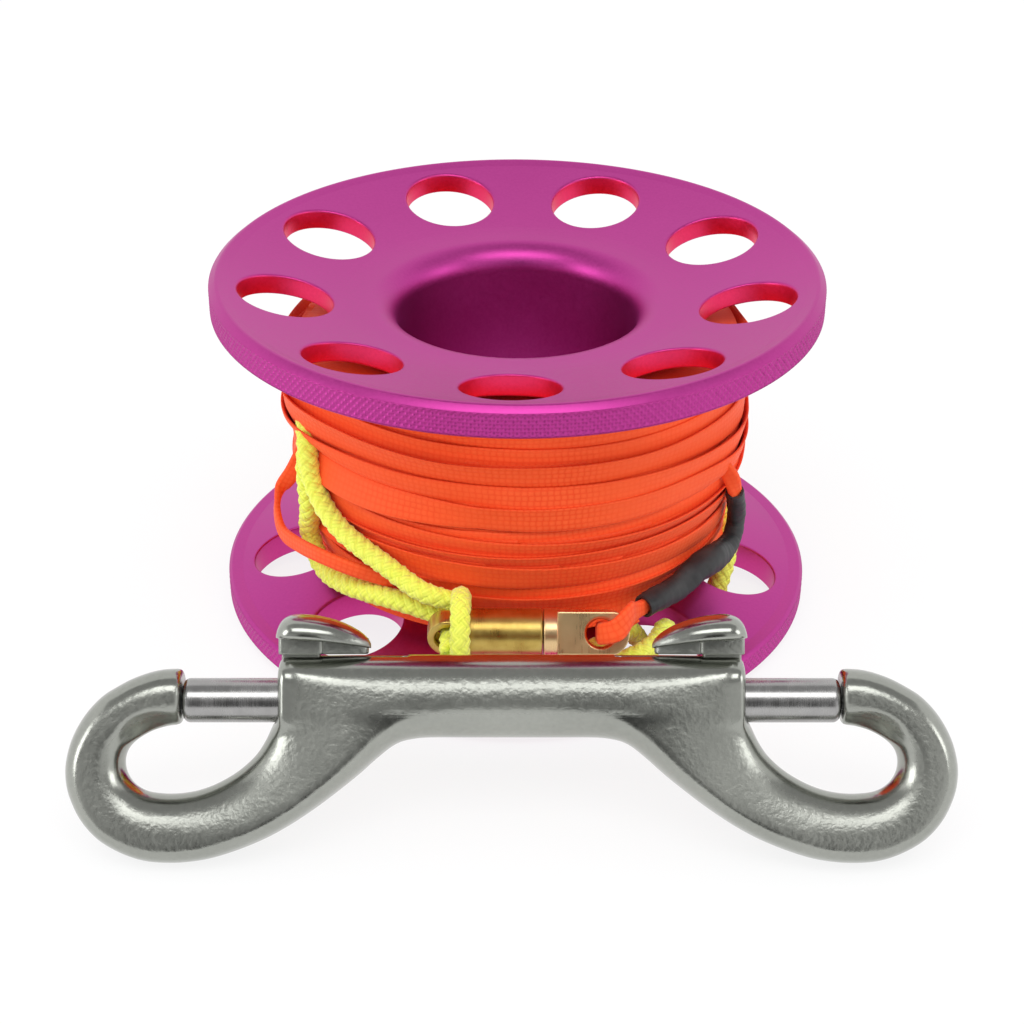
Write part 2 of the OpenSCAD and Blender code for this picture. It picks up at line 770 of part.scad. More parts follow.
module left_gate_bolt() {
    color(steel) snap_place() mirror([1, 0, 0]) gate_bolt();
}
module right_gate_bolt() {
    color(steel) snap_place() gate_bolt();
}
module left_thumb_knob() {
    color(steel) snap_place() mirror([1, 0, 0]) thumb_knob();
}
module right_thumb_knob() {
    color(steel) snap_place() thumb_knob();
}
module left_gate_spring() {
    color(steel) snap_place() mirror([1, 0, 0]) gate_spring();
}
module right_gate_spring() {
    color(steel) snap_place() gate_spring();
}

upper_flange();
lower_flange();
line_core();
line_winding();
line_slack_loop();
line_end_loop();
heat_shrink_sleeve();
lanyard_cord();
swivel_barrel();
swivel_bush();
swivel_eye();
snap_body();
left_gate_bolt();
right_gate_bolt();
left_thumb_knob();
right_thumb_knob();
left_gate_spring();
right_gate_spring();
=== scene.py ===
import math

import bpy
import numpy as np
from mathutils import Matrix, Vector


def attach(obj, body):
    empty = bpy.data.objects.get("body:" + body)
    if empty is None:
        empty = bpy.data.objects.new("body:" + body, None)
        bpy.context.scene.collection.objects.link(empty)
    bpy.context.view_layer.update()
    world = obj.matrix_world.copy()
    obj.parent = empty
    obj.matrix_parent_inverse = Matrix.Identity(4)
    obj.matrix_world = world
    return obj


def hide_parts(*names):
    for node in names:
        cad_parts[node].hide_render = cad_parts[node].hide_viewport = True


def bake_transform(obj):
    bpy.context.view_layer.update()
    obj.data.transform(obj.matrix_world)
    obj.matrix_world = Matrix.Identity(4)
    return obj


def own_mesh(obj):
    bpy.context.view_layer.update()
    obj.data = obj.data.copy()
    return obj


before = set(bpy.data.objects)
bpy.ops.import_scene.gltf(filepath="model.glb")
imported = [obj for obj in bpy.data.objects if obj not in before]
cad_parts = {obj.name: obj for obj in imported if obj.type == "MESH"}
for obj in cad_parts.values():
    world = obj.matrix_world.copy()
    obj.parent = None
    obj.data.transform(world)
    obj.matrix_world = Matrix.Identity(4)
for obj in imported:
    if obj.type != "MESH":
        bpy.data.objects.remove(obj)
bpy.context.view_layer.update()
MM = 0.001
rng = np.random.default_rng(11)

# ------------------------------ camera


def add_object(name, data):
    obj = bpy.data.objects.new(name, data)
    bpy.context.scene.collection.objects.link(obj)
    return obj


cam_data = bpy.data.cameras.new("camera")
cam_data.lens = 73.547
cam_data.sensor_width = 36.0
cam_data.sensor_fit = "HORIZONTAL"
cam_data.clip_start = 0.01
cam_data.clip_end = 20.0
camera = add_object("camera", cam_data)
camera.matrix_world = Matrix((
    (0.99999, -0.004538, 0.0, -0.000556),
    (0.002287, 0.503995, -0.8637, -0.2509),
    (0.003919, 0.863691, 0.504, 0.1567),
    (0.0, 0.0, 0.0, 1.0),
))
bpy.context.scene.camera = camera
bpy.context.scene.view_settings.view_transform = "Standard"

# ------------------------------ mesh helpers


def make(name, verts, faces, material, attrs=None, sharp=None):
    """A smooth shaded object from points in millimetres and a list of face arrays."""
    verts = np.asarray(verts, float) * MM
    faces = [f for f in faces if len(f)]
    mesh = bpy.data.meshes.new(name)
    mesh.vertices.add(len(verts))
    mesh.vertices.foreach_set("co", verts.astype(np.float32).ravel())
    loops = np.concatenate([f.ravel() for f in faces])
    sizes = np.concatenate([np.full(len(f), f.shape[1]) for f in faces])
    mesh.loops.add(len(loops))
    mesh.loops.foreach_set("vertex_index", loops.astype(np.int32))
    mesh.polygons.add(len(sizes))
    starts = np.concatenate([[0], np.cumsum(sizes)[:-1]])
    mesh.polygons.foreach_set("loop_start", starts.astype(np.int32))
    mesh.polygons.foreach_set("loop_total", sizes.astype(np.int32))
    mesh.update(calc_edges=True)
    mesh.validate()
    mesh.polygons.foreach_set("use_smooth", np.ones(len(mesh.polygons), bool))
    for key, values in (attrs or {}).items():
        values = np.asarray(values, np.float32)
        mesh.attributes.new(key, "FLOAT", "POINT").data.foreach_set("value", values)
    if sharp is not None:
        mesh.set_sharp_from_angle(angle=math.radians(sharp))
    mesh.materials.append(material)
    return add_object(mesh.name, mesh)


def merged(parts):
    """Several (verts, faces, attrs) shapes as one."""
    verts, faces, attrs, n = [], [], {}, 0
    for v, f, a in parts:
        verts.append(v)
        faces += [q + n for q in f]
        for key, values in a.items():
            attrs.setdefault(key, []).append(values)
        n += len(v)
    return np.concatenate(verts), faces, {k: np.concatenate(v) for k, v in attrs.items()}


def weld(verts, faces, tol):
    """Joins points that lie on each other and drops faces that fold up."""
    keys = np.round(np.asarray(verts) / tol).astype(np.int64)
    _, first, index = np.unique(keys, axis=0, return_index=True, return_inverse=True)
    index = index.ravel()
    out = []
    for f in faces:
        g = index[f]
        keep = np.ones(len(g), bool)
        for i in range(g.shape[1]):
            keep &= g[:, i] != g[:, (i + 1) % g.shape[1]]
        out.append(g[keep])
    return np.asarray(verts)[first], out


def grid_faces(rows, cols, wrap_rows=False, wrap_cols=False, flip=False):
    """Quads over a rows by cols grid of points, numbered row by row."""
    r = np.arange(rows if wrap_rows else rows - 1)
    c = np.arange(cols if wrap_cols else cols - 1)
    r0, c0 = np.meshgrid(r, c, indexing="ij")
    r1, c1 = (r0 + 1) % rows, (c0 + 1) % cols
    q = np.stack([r0 * cols + c0, r0 * cols + c1, r1 * cols + c1, r1 * cols + c0], -1).reshape(-1, 4)
    return q[:, ::-1] if flip else q


def catmull(points, steps):
    """A smooth curve through the points, with steps places from each to the next."""
    p = np.asarray(points, float)
    spans = len(p) - 1
    i = np.repeat(np.arange(spans), steps)
    t = np.tile(np.arange(steps) / steps, spans)[:, None]
    a, b, c, d = p[np.maximum(i - 1, 0)], p[i], p[i + 1], p[np.minimum(i + 2, spans)]
    out = (2 * b + (c - a) * t + (2 * a - 5 * b + 4 * c - d) * t**2 + (3 * b - a - 3 * c + d) * t**3) / 2
    return np.concatenate([out, p[-1:]])


def even(route, step, closed=False):
    """The same curve with places step apart along it. The first three columns are the place."""
    r = np.concatenate([route, route[:1]]) if closed else np.asarray(route)
    d = np.concatenate([[0], np.cumsum(np.linalg.norm(np.diff(r[:, :3], axis=0), axis=1))])
    n = max(int(round(d[-1] / step)), 8)
    s = np.linspace(0, d[-1], n + 1)[: n if closed else n + 1]
    return np.stack([np.interp(s, d, r[:, k]) for k in range(r.shape[1])], 1), s, d[-1]


def unit(v):
    return v / np.maximum(np.linalg.norm(v, axis=-1, keepdims=True), 1e-12)


def across_way(v, ways):
    """The direction of the part of each vector that lies at right angles to its route."""
    return unit(v - (v * ways).sum(-1, keepdims=True) * ways)


def headings(p, closed=False):
    if closed:
        return unit(np.roll(p, -1, 0) - np.roll(p, 1, 0))
    return unit(np.gradient(p, axis=0))


def carried_sides(ways, first):
    """A side vector carried along a route without twist."""
    out = np.empty_like(ways)
    side = np.asarray(first, float)
    for i, w in enumerate(ways):
        side = side - side.dot(w) * w
        side /= max(np.linalg.norm(side), 1e-9)
        out[i] = side
    return out


def around(n):
    """n angles evenly round a full turn."""
    return np.arange(n) / n * 2 * math.pi


def circle(n):
    a = around(n)
    return np.stack([np.cos(a), np.sin(a)], -1)


def polar(r, a, z):
    """Points at radius r and height z, with one angle for each row."""
    r, z = np.broadcast_arrays(r, z)
    return np.stack([r * np.cos(a)[:, None], r * np.sin(a)[:, None], z], -1)


def tube_faces(n, m, closed=False, flip=False):
    """Quads round a tube of n rings of m points, with a cap at both ends unless it closes on itself."""
    faces = [grid_faces(n, m, wrap_rows=closed, wrap_cols=True, flip=flip)]
    if not closed:
        ends = [np.arange(m)[None, ::-1], ((n - 1) * m + np.arange(m))[None]]
        faces += [e[:, ::-1] if flip else e for e in ends]
    return faces


def sweep(places, sides, others, section, closed=False):
    """A tube of section points (n, m, 2) along places; section x goes with sides, y with others."""
    n, m = section.shape[:2]
    v = places[:, None] + section[..., :1] * sides[:, None] + section[..., 1:] * others[:, None]
    return v.reshape(-1, 3), tube_faces(n, m, closed)


def lathe(profile, segments, closed=True):
    """Turns (along, radius) points round +X. A closed profile makes a closed ring."""
    p = np.asarray(profile, float)
    ring = (p[:, 1:, None] * circle(segments)).reshape(-1, 2)
    faces = grid_faces(len(p), segments, wrap_rows=closed, wrap_cols=True)
    return weld(np.column_stack([np.repeat(p[:, 0], segments), ring]), [faces], 1e-4)


def rounded(points, radii, steps=4):
    """A closed outline with its corners rounded by their own radii."""
    p = [np.asarray(q, float) for q in points]
    out = []
    for i, q in enumerate(p):
        a, b, r = p[i - 1], p[(i + 1) % len(p)], radii[i]
        if r <= 0:
            out.append(q)
            continue
        u, w = unit(a - q), unit(b - q)
        half = math.acos(max(-1, min(1, float(u.dot(w))))) / 2
        cut = min(r / math.tan(half), 0.49 * min(np.linalg.norm(a - q), np.linalg.norm(b - q)))
        r = cut * math.tan(half)
        centre = q + unit(u + w) * r / math.sin(half)
        s, e = q + u * cut - centre, q + w * cut - centre
        turn = math.atan2(s[0] * e[1] - s[1] * e[0], s.dot(e))
        for k in range(steps + 1):
            t = turn * k / steps
            c, d = math.cos(t), math.sin(t)
            out.append(centre + [s[0] * c - s[1] * d, s[0] * d + s[1] * c])
    return np.array(out)


def nets(field, low, high, h):
    """The surface where field is zero, as quads: surface nets, then moved onto the surface."""
    low, high = np.asarray(low, float), np.asarray(high, float)
    n = np.ceil((high - low) / h).astype(int) + 1
    axes = [low[k] + h * np.arange(n[k]) for k in range(3)]
    f = np.empty(n, np.float32)
    for i in range(0, n[0], 16):
        g = np.stack(np.meshgrid(axes[0][i:i + 16], axes[1], axes[2], indexing="ij"), -1)
        f[i:i + 16] = field(g.reshape(-1, 3)).reshape(g.shape[:3])
    cells = n - 1
    total = int(np.prod(cells))
    acc, count = np.zeros((total, 3)), np.zeros(total)
    quads = []
    for ax in range(3):
        o1, o2 = (ax + 1) % 3, (ax + 2) % 3
        a, b = np.delete(f, -1, ax), np.delete(f, 0, ax)
        idx = np.argwhere((a < 0) != (b < 0))
        fa, fb = a[tuple(idx.T)], b[tuple(idx.T)]
        ok = (idx[:, o1] > 0) & (idx[:, o2] > 0) & (idx[:, o1] < cells[o1]) & (idx[:, o2] < cells[o2])
        idx, fa, fb = idx[ok], fa[ok], fb[ok]
        p = idx.astype(float)
        p[:, ax] += fa / (fa - fb)
        ring = []
        for d1, d2 in ((0, 0), (-1, 0), (-1, -1), (0, -1)):
            c = idx.copy()
            c[:, o1] += d1
            c[:, o2] += d2
            flat = (c[:, 0] * cells[1] + c[:, 1]) * cells[2] + c[:, 2]
            ring.append(flat)
            count += np.bincount(flat, minlength=total)
            for k in range(3):
                acc[:, k] += np.bincount(flat, weights=p[:, k], minlength=total)
        q = np.stack(ring, 1)
        q[fa >= 0] = q[fa >= 0][:, ::-1]
        quads.append(q)
    used = np.flatnonzero(count)
    place = np.full(total, -1)
    place[used] = np.arange(len(used))
    v = low + h * acc[used] / count[used, None]
    for _ in range(2):
        value = field(v)
        e = 0.2 * h
        grad = np.stack([field(v + e * np.eye(3)[k]) - value for k in range(3)], 1) / e
        size = np.maximum((grad**2).sum(1), 0.2)
        v = v - np.clip(0.8 * value / size, -0.5 * h, 0.5 * h)[:, None] * grad
    return v, [place[np.concatenate(quads)]]


def smin(a, b, k):
    """The smaller of two values, with k as the width of the rounding where they meet."""
    t = np.clip(0.5 + 0.5 * (b - a) / k, 0, 1)
    return b + (a - b) * t - k * t * (1 - t)


def smax(a, b, k):
    return -smin(-a, -b, k)


def smooth(x, reach, sigma):
    """Smooths values along a run, with the end values carried on."""
    kernel = np.exp(-0.5 * (np.arange(-reach, reach + 1) / sigma) ** 2)
    return np.convolve(np.pad(x, reach, mode="edge"), kernel / kernel.sum(), "valid")


def belongs(obj, body, slot, *solids):
    """Attaches a piece to the body that carries it, and hides the solids that it stands in for. The slot is
    not used.
    """
    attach(obj, body)
    if solids:
        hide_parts(*solids)


# ------------------------------ node materials


class Nodes:
    """Builds one material's node tree with short calls. Keywords name sockets, with _ for a space."""

    def __init__(self, name, **values):
        self.mat = bpy.data.materials.new(name)
        self.mat.use_nodes = True
        self.tree = self.mat.node_tree
        self.bsdf = self.tree.nodes["Principled BSDF"]
        for key, value in values.items():
            self.bsdf.inputs[key.replace("_", " ")].default_value = value

    def dress(self, *looks):
        """Links colour, roughness and normal to the shader, and gives the material."""
        for key, value in zip(("Base Color", "Roughness", "Normal"), looks):
            self.put(self.bsdf.inputs[key], value)
        # One flat face of the scene around the part; it is not attached to any body.
        return self.mat

    def add(self, kind, props=None, **inputs):
        node = self.tree.nodes.new("ShaderNode" + kind)
        for key, value in (props or {}).items():
            setattr(node, key, value)
        for key, value in inputs.items():
            self.put(node.inputs[key.replace("_", " ")], value)
        return node

    def put(self, socket, value):
        if isinstance(value, bpy.types.NodeSocket):
            self.tree.links.new(value, socket)
        else:
            socket.default_value = value

    def math(self, op, a, b=0.0):
        node = self.add("Math", {"operation": op})
        self.put(node.inputs[0], a)
        self.put(node.inputs[1], b)
        return node.outputs[0]

    def plus(self, a, b):
        return self.math("ADD", a, b)

    def minus(self, a, b):
        return self.math("SUBTRACT", a, b)

    def times(self, a, b):
        return self.math("MULTIPLY", a, b)

    def weighted(self, *parts):
        """The sum of values, each times its weight."""
        total = self.times(*parts[0])
        for part in parts[1:]:
            total = self.plus(total, self.times(*part))
        return total

    def attr(self, name):
        return self.add("Attribute", {"attribute_name": name}).outputs["Fac"]

    def object(self):
        return self.add("TexCoord").outputs["Object"]

    def noise(self, scale, detail=3.0, vector=None):
        node = self.add("TexNoise", Scale=scale, Detail=detail)
        self.put(node.inputs["Vector"], vector if vector is not None else self.object())
        return node.outputs["Fac"]

    def streaks(self, x, y, z, detail=3.0):
        """Noise with its own scale along each axis."""
        mapping = self.add("Mapping", Vector=self.object(), Scale=(x, y, z))
        return self.noise(1.0, detail, mapping.outputs["Vector"])

    def noise_over(self, x, y, detail):
        """Noise over two values in place of the object's coordinates."""
        return self.noise(1.0, detail, self.add("CombineXYZ", X=x, Y=y).outputs[0])

    def ramp(self, fac, *stops):
        node = self.add("ValToRGB")
        e = node.color_ramp.elements
        while len(e) < len(stops):
            e.new(0.5)
        for item, (at, colour) in zip(e, stops):
            item.position = at
            item.color = (*colour, 1.0)
        self.put(node.inputs["Fac"], fac)
        return node.outputs["Color"]

    def mix(self, fac, a, b):
        node = self.add("Mix", {"data_type": "RGBA"})
        for k, value in ((0, fac), (6, a), (7, b)):
            self.put(node.inputs[k], value)
        return node.outputs[2]

    def scale(self, value, low, high, to_low=0.0, to_high=1.0):
        node = self.add("MapRange", Value=value, From_Min=low, From_Max=high, To_Min=to_low, To_Max=to_high)
        return node.outputs["Result"]

    def bump(self, height, distance, strength, after=None):
        node = self.add("Bump", Height=height, Distance=distance, Strength=strength)
        if after is not None:
            self.put(node.inputs["Normal"], after)
        return node.outputs["Normal"]


def anodised():
    """Anodised aluminium, magenta on its faces, with turning marks, and a painted red reflection on the
    hole walls.
    """
    m = Nodes("anodised", Metallic=1.0)
    grain = m.noise(2600.0, 2.0)
    cloud = m.noise(55.0)
    x, y, z = m.add("SeparateXYZ", Vector=m.object()).outputs
    radius = m.math("SQRT", m.plus(m.times(x, x), m.times(y, y)))
    rings = m.noise_over(m.times(radius, 5200.0), m.times(z, 5200.0), 2.0)
    tone = m.weighted((cloud, 0.5), (grain, 0.5))
    face = m.ramp(tone, (0.3, (0.49, 0.045, 0.28)), (0.7, (0.57, 0.064, 0.34)))
    # painted reflection: red on the hole walls, for the orange line and bounced light seen in them
    wall = m.ramp(tone, (0.3, (0.76, 0.035, 0.12)), (0.7, (0.88, 0.05, 0.17)))
    return m.dress(
        m.mix(m.attr("wall"), face, wall),
        m.scale(m.weighted((grain, 0.6), (cloud, 0.4)), 0.3, 0.7, 0.36, 0.48),
        m.bump(m.weighted((grain, 0.7), (rings, 0.5)), 0.00002, 0.5),
    )


def woven_line():
    """Flat woven line: rows of short stitches across, with a fine slant inside each."""
    m = Nodes("woven_line", Specular_IOR_Level=0.2, Sheen_Weight=0.06, Sheen_Roughness=0.4)
    along, across = m.attr("along"), m.attr("across")
    row = m.math("DIVIDE", across, 0.72)
    row_at = m.math("FLOOR", row)
    stagger = m.times(m.math("PINGPONG", row_at, 1.0), 0.12)
    wander = m.times(m.noise(160.0, 2.0), 0.5)
    col = m.plus(m.math("DIVIDE", along, 0.78), m.plus(stagger, wander))
    col_at = m.math("FLOOR", col)
    humps = [m.math("SINE", m.times(m.minus(x, at), math.pi)) for x, at in ((col, col_at), (row, row_at))]
    knit = m.math("POWER", m.times(*humps), 0.6)
    # the stitch stands out in some places and is pressed flat in others
    clear = m.scale(m.noise(52.0, 2.0), 0.38, 0.66, 0.22, 1.0)
    knit = m.plus(m.times(knit, clear), m.times(m.minus(1.0, clear), 0.7))
    slant = m.math("SINE", m.times(m.plus(along, m.times(across, 1.2)), 42.0))
    height = m.plus(knit, m.times(slant, 0.12))
    high = m.mix(m.noise(38.0), (0.98, 0.088, 0.014, 1), (1.0, 0.13, 0.03, 1))
    base = m.mix(m.scale(height, 0.1, 0.9), (0.93, 0.062, 0.009, 1), high)
    base = m.mix(m.times(m.noise(1500.0, 2.0), 0.1), base, (1.0, 0.30, 0.10, 1))
    # painted shade: darker red-brown where the shade attribute is low
    base = m.mix(m.minus(1.0, m.attr("shade")), base, (0.55, 0.015, 0.003, 1))
    return m.dress(base, m.scale(height, 0.0, 1.0, 0.72, 0.5), m.bump(height, 0.00004, 0.6))


def braided():
    """Yellow-green strands with fine fibres along them, with painted shade where they dip under each other
    and on their inner sides.
    """
    m = Nodes("braided_cord", Specular_IOR_Level=0.3, Sheen_Weight=0.3, Sheen_Roughness=0.5)
    along, across = m.attr("along"), m.attr("across")
    fibre = m.math("SINE", m.times(across, 16.0))
    fuzz = m.noise_over(m.times(along, 1.6), m.times(across, 9.0), 3.0)
    height = m.plus(m.times(fibre, 0.4), fuzz)
    tone = m.mix(m.noise(260.0), (0.88, 0.96, 0.07, 1), (1.0, 1.0, 0.2, 1))
    tone = m.mix(m.scale(height, 0.3, 1.1), m.mix(0.35, tone, (0.50, 0.62, 0.02, 1)), tone)
    return m.dress(
        m.mix(m.minus(1.0, m.attr("shade")), tone, (0.46, 0.58, 0.02, 1)),
        m.scale(fuzz, 0.3, 0.7, 0.62, 0.78),
        m.bump(height, 0.00006, 0.6),
    )


def brass(name, painted_light=0.0):
    """Turned brass; with painted_light above 0 its tones are lightened towards cream, painted light for the
    swivel's eye.
    """
    m = Nodes(name, Metallic=1.0)
    turned = m.streaks(9000.0, 260.0, 260.0)
    cloud = m.noise(420.0, 4.0)
    stain = m.noise(150.0, 4.0)
    tones = [(0.30, (0.36, 0.22, 0.05)), (0.48, (0.54, 0.38, 0.10)), (0.7, (0.66, 0.50, 0.17))]
    # painted light: the tones lightened by painted_light
    tones = [(at, [c + painted_light * (w - c) for c, w in zip(tone, (0.95, 0.66, 0.42))]) for at, tone in tones]
    return m.dress(
        m.ramp(m.weighted((cloud, 0.5), (stain, 0.5)), *tones),
        m.scale(m.plus(turned, cloud), 0.7, 1.3, 0.24, 0.4),
        m.bump(m.weighted((turned, 0.8), (cloud, 0.3)), 0.00002, 0.5),
    )


def sleeve_black():
    m = Nodes("heat_shrink", Specular_IOR_Level=0.4)
    dust = m.noise(300.0, 4.0)
    return m.dress(
        m.ramp(dust, (0.35, (0.016, 0.017, 0.018)), (0.75, (0.045, 0.045, 0.045))),
        m.scale(dust, 0.3, 0.7, 0.42, 0.6),
        m.bump(m.noise(900.0, 4.0), 0.00005, 0.5),
    )


def cast_steel():
    """Cast steel, tumbled smooth, with its grain left where the crest attribute is 1."""
    m = Nodes("cast_steel", Metallic=1.0)
    swell = m.noise(330.0)
    pits = m.noise(1700.0)
    streak = m.streaks(450.0, 2600.0, 1500.0)
    scratch = m.scale(m.streaks(1500.0, 300.0, 5200.0, 1.0), 0.66, 0.74)
    crest = m.attr("crest")
    tone = m.weighted((m.noise(110.0, 4.0), 0.6), (pits, 0.4))
    relief = m.bump(m.weighted((swell, 1.0), (pits, 0.2), (streak, 0.15), (scratch, -0.2)), 0.00005, 0.25)
    return m.dress(
        m.ramp(tone, (0.3, (0.325, 0.335, 0.305)), (0.7, (0.395, 0.405, 0.37))),
        m.plus(m.scale(tone, 0.3, 0.7, 0.15, 0.25), m.times(crest, 0.17)),
        m.bump(m.times(m.plus(pits, swell), crest), 0.0001, 0.7, relief),
    )


def turned_steel():
    m = Nodes("turned_steel", Metallic=1.0)
    rings = m.streaks(12000.0, 150.0, 150.0)
    cloud = m.noise(500.0)
    return m.dress(
        m.ramp(cloud, (0.3, (0.35, 0.345, 0.34)), (0.7, (0.43, 0.425, 0.42))),
        m.scale(m.plus(rings, cloud), 0.7, 1.3, 0.18, 0.32),
        m.bump(m.weighted((rings, 0.35), (cloud, 0.4)), 0.00002, 0.4),
    )


def spring_steel():
    m = Nodes("spring_steel", Metallic=1.0)
    cloud = m.noise(1600.0)
    return m.dress(
        m.ramp(cloud, (0.3, (0.34, 0.33, 0.32)), (0.7, (0.50, 0.49, 0.48))),
        m.scale(cloud, 0.3, 0.7, 0.22, 0.36),
        m.bump(cloud, 0.00001, 0.4),
    )


MAT = {
    "spool": anodised(),
    "line": woven_line(),
    "cord": braided(),
    "brass": brass("brass"),
    "brass_eye_painted_light": brass("brass_eye_painted_light", 0.55),
    "sleeve": sleeve_black(),
    "cast": cast_steel(),
    "turned": turned_steel(),
    "spring": spring_steel(),
}

# ------------------------------ spool

FLANGE_R, SPOOL_H, RIM_T, RIM_CHAMFER, RIM_LAND = 40.0, 47.2, 4.2, 0.5, 0.5
WEB_T, BORE_R, MOUTH_R, HUB_R = 2.75, 15.75, 3.5, 18.7
BOWL, FLAT_FROM, FLAT_SLOPE = 5.8, 24.0, 0.05
HALF_H = SPOOL_H / 2
EDGE_R = FLANGE_R - RIM_CHAMFER
DISH_R = EDGE_R - RIM_LAND
WEB_RIM_R = EDGE_R - 1.5
PACK_LOW = 8.187

# how much of the painted red reflection on the hole walls the lower flange shows
LOWER_WALL_REFLECTION = 0.25
# the lower flange's web is the thicker one, and its inner face meets the rim without a step
LOWER_WEB_T = 3.88
HOLE_R, HOLE_CIRCLE_R, HOLE_EDGE, HOLES = 6.13, 30.2, 0.32, 9
SECTOR = 360 / HOLES
PATCH_IN, PATCH_OUT = 22.6, 37.5
ARC_STEPS, SIDE_STEPS = 32, 12
KNURLS, KNURL_DEPTH, KNURL_TOP, KNURL_BACK_R = 280, 0.23, 3.8, 39.5


def dish_z(r):
    """Height of the outer face: a bowl that is steepest at the rim and flattens towards the bore."""
    r = np.asarray(r, float)
    bowl = BOWL * (1 - (np.maximum(r, FLAT_FROM) / DISH_R) ** 2)
    slope = 2 * BOWL * FLAT_FROM / DISH_R**2
    inward = np.clip(FLAT_FROM - r, 0, 5)
    return bowl + slope * inward + (FLAT_SLOPE - slope) * inward**2 / 10


def web_z(r, thick):
    """Height of the inner face. The web is thicker where it runs into the hub."""
    r = np.asarray(r, float)
    hub_thicker = PACK_LOW - 0.1 - thick - float(dish_z(HUB_R))
    return dish_z(r) + thick + hub_thicker * np.clip((27 - r) / (27 - HUB_R), 0, 1) ** 1.5


def arc_points(centre, r, a0, a1, n):
    a = np.radians(np.linspace(a0, a1, n))
    return np.stack([centre[0] + r * np.cos(a), centre[1] + r * np.sin(a)], 1)


def revolve(profile, turn):
    """An open strip of (radius, height) points turned round Z, with rows that fit the patches."""
    n = HOLES * ARC_STEPS
    a = math.radians(turn) + around(n)
    p = np.asarray(profile, float)
    v = np.stack([p[:, :1] * np.cos(a), p[:, :1] * np.sin(a), np.repeat(p[:, 1:], n, 1)], -1)
    return v.reshape(-1, 3), grid_faces(len(p), n, wrap_cols=True)


def flange_half(turn, spigot):
    """One flange with its half hub, drawn as the lower one: two turned strips and nine holed patches."""
    if spigot:
        thick, foot = WEB_T, [(38.7, 0.0), (39.05, 0.0), (39.93, 0.75)]
        joint_r, joint_z, joint_edge = BORE_R + 1.2, HALF_H + 6, 0.2
    else:
        thick, foot = LOWER_WEB_T, [(37.9, 0.0), (38.3, 0.0), (39.93, 1.25)]
        joint_r, joint_z, joint_edge = BORE_R + 1.23, HALF_H - 6.03, 0
    rim = rounded(
        [(PATCH_OUT, dish_z(PATCH_OUT)), *foot, (39.72, foot[-1][1] + 0.12), (39.72, 3.72), (39.93, 3.84),
         (EDGE_R, RIM_T), (WEB_RIM_R, web_z(WEB_RIM_R, thick)), (PATCH_OUT, web_z(PATCH_OUT, thick))],
        [0, 0.5, 0.45, 0.04, 0, 0, 0.04, 0.25, 0.6, 0])
    fall = math.atan(FLAT_SLOPE)
    mouth = np.array([BORE_R + MOUTH_R, dish_z(BORE_R + MOUTH_R) + MOUTH_R / math.cos(fall)])
    hub = rounded(
        [(PATCH_IN, web_z(PATCH_IN, thick)), (HUB_R, web_z(HUB_R, thick)), (HUB_R, HALF_H),
         (joint_r, HALF_H), (joint_r, joint_z), (BORE_R + 0.12, joint_z), (BORE_R, joint_z - 0.12),
         (BORE_R, mouth[1] + 0.01)],
        [0, 1.0, 0, 0, joint_edge, 0, 0, 0])
    curl = arc_points(mouth, MOUTH_R, 180, 270 - math.degrees(fall), 15)
    floor_r = np.linspace(curl[-1][0], PATCH_IN, 5)[1:]
    parts = []
    for strip in (rim, np.concatenate([hub, curl[1:], np.column_stack([floor_r, dish_z(floor_r)])])):
        v, q = revolve(strip, turn - 90 - SECTOR / 2)
        parts.append((v, [q[:, ::-1]], {"wall": np.zeros(len(v))}))

    # one sector's outline, from the inner arc round to the outer arc
    a = np.radians(np.linspace(-SECTOR / 2, SECTOR / 2, ARC_STEPS + 1))
    r = np.linspace(PATCH_IN, PATCH_OUT, SIDE_STEPS + 1)
    corners = [(PATCH_IN, t) for t in a[:-1]] + [(q, a[-1]) for q in r[:-1]]
    corners += [(PATCH_OUT, t) for t in a[:0:-1]] + [(q, a[0]) for q in r[:0:-1]]
    outline = np.array([(q * math.cos(t), q * math.sin(t)) for q, t in corners])
    # its spokes to the hole, moved towards even spacing
    rel = outline - [HOLE_CIRCLE_R, 0]
    ang = np.unwrap(np.arctan2(rel[:, 1], rel[:, 0]))
    ang = 0.6 * ang + 0.4 * np.linspace(ang[0], ang[-1], len(ang))
    dirs = np.stack([np.cos(ang), np.sin(ang)], 1)
    rows, deep = [], []

    def row(xy, face, lift=0.0):
        r = np.linalg.norm(xy, axis=1)
        z = dish_z(r) + lift if face == 0 else web_z(r, thick) - lift
        rows.append(np.column_stack([xy, z]))
        deep.append(np.full(len(xy), lift / HOLE_EDGE))

    def spread(face, shares):
        edge = [HOLE_CIRCLE_R, 0] + dirs * (HOLE_R + HOLE_EDGE)
        for t in shares:
            row(edge + (outline - edge) * t, face)

    def rounding(face, order):
        for k in order:
            t = k / 4 * math.pi / 2
            r = HOLE_R + HOLE_EDGE * (1 - math.sin(t))
            row([HOLE_CIRCLE_R, 0] + dirs * r, face, HOLE_EDGE * (1 - math.cos(t)))

    shares = [1.0, 0.72, 0.45, 0.2, 0.06, 0.0]
    spread(0, shares)
    rounding(0, (1, 2, 3, 4))
    rounding(1, (4, 3, 2, 1))
    spread(1, shares[::-1])
    patch = np.concatenate(rows)
    faces = [grid_faces(len(rows), len(outline), wrap_cols=True)]
    # mask of the painted red reflection: 1 on the hole walls, easing to 0 over their rounded edges
    wall = np.concatenate(deep)
    x, y, z = patch.T
    for k in range(HOLES):
        t = math.radians(turn - 90 + SECTOR * k)
        c, s = math.cos(t), math.sin(t)
        parts.append((np.column_stack([x * c - y * s, x * s + y * c, z]), faces, {"wall": wall}))
    v, f, attrs = merged(parts)
    v, f = weld(np.column_stack([v, attrs["wall"]]), f, 2e-4)
    return v[:, :3], f, {"wall": v[:, 3] * (1.0 if spigot else LOWER_WALL_REFLECTION)}


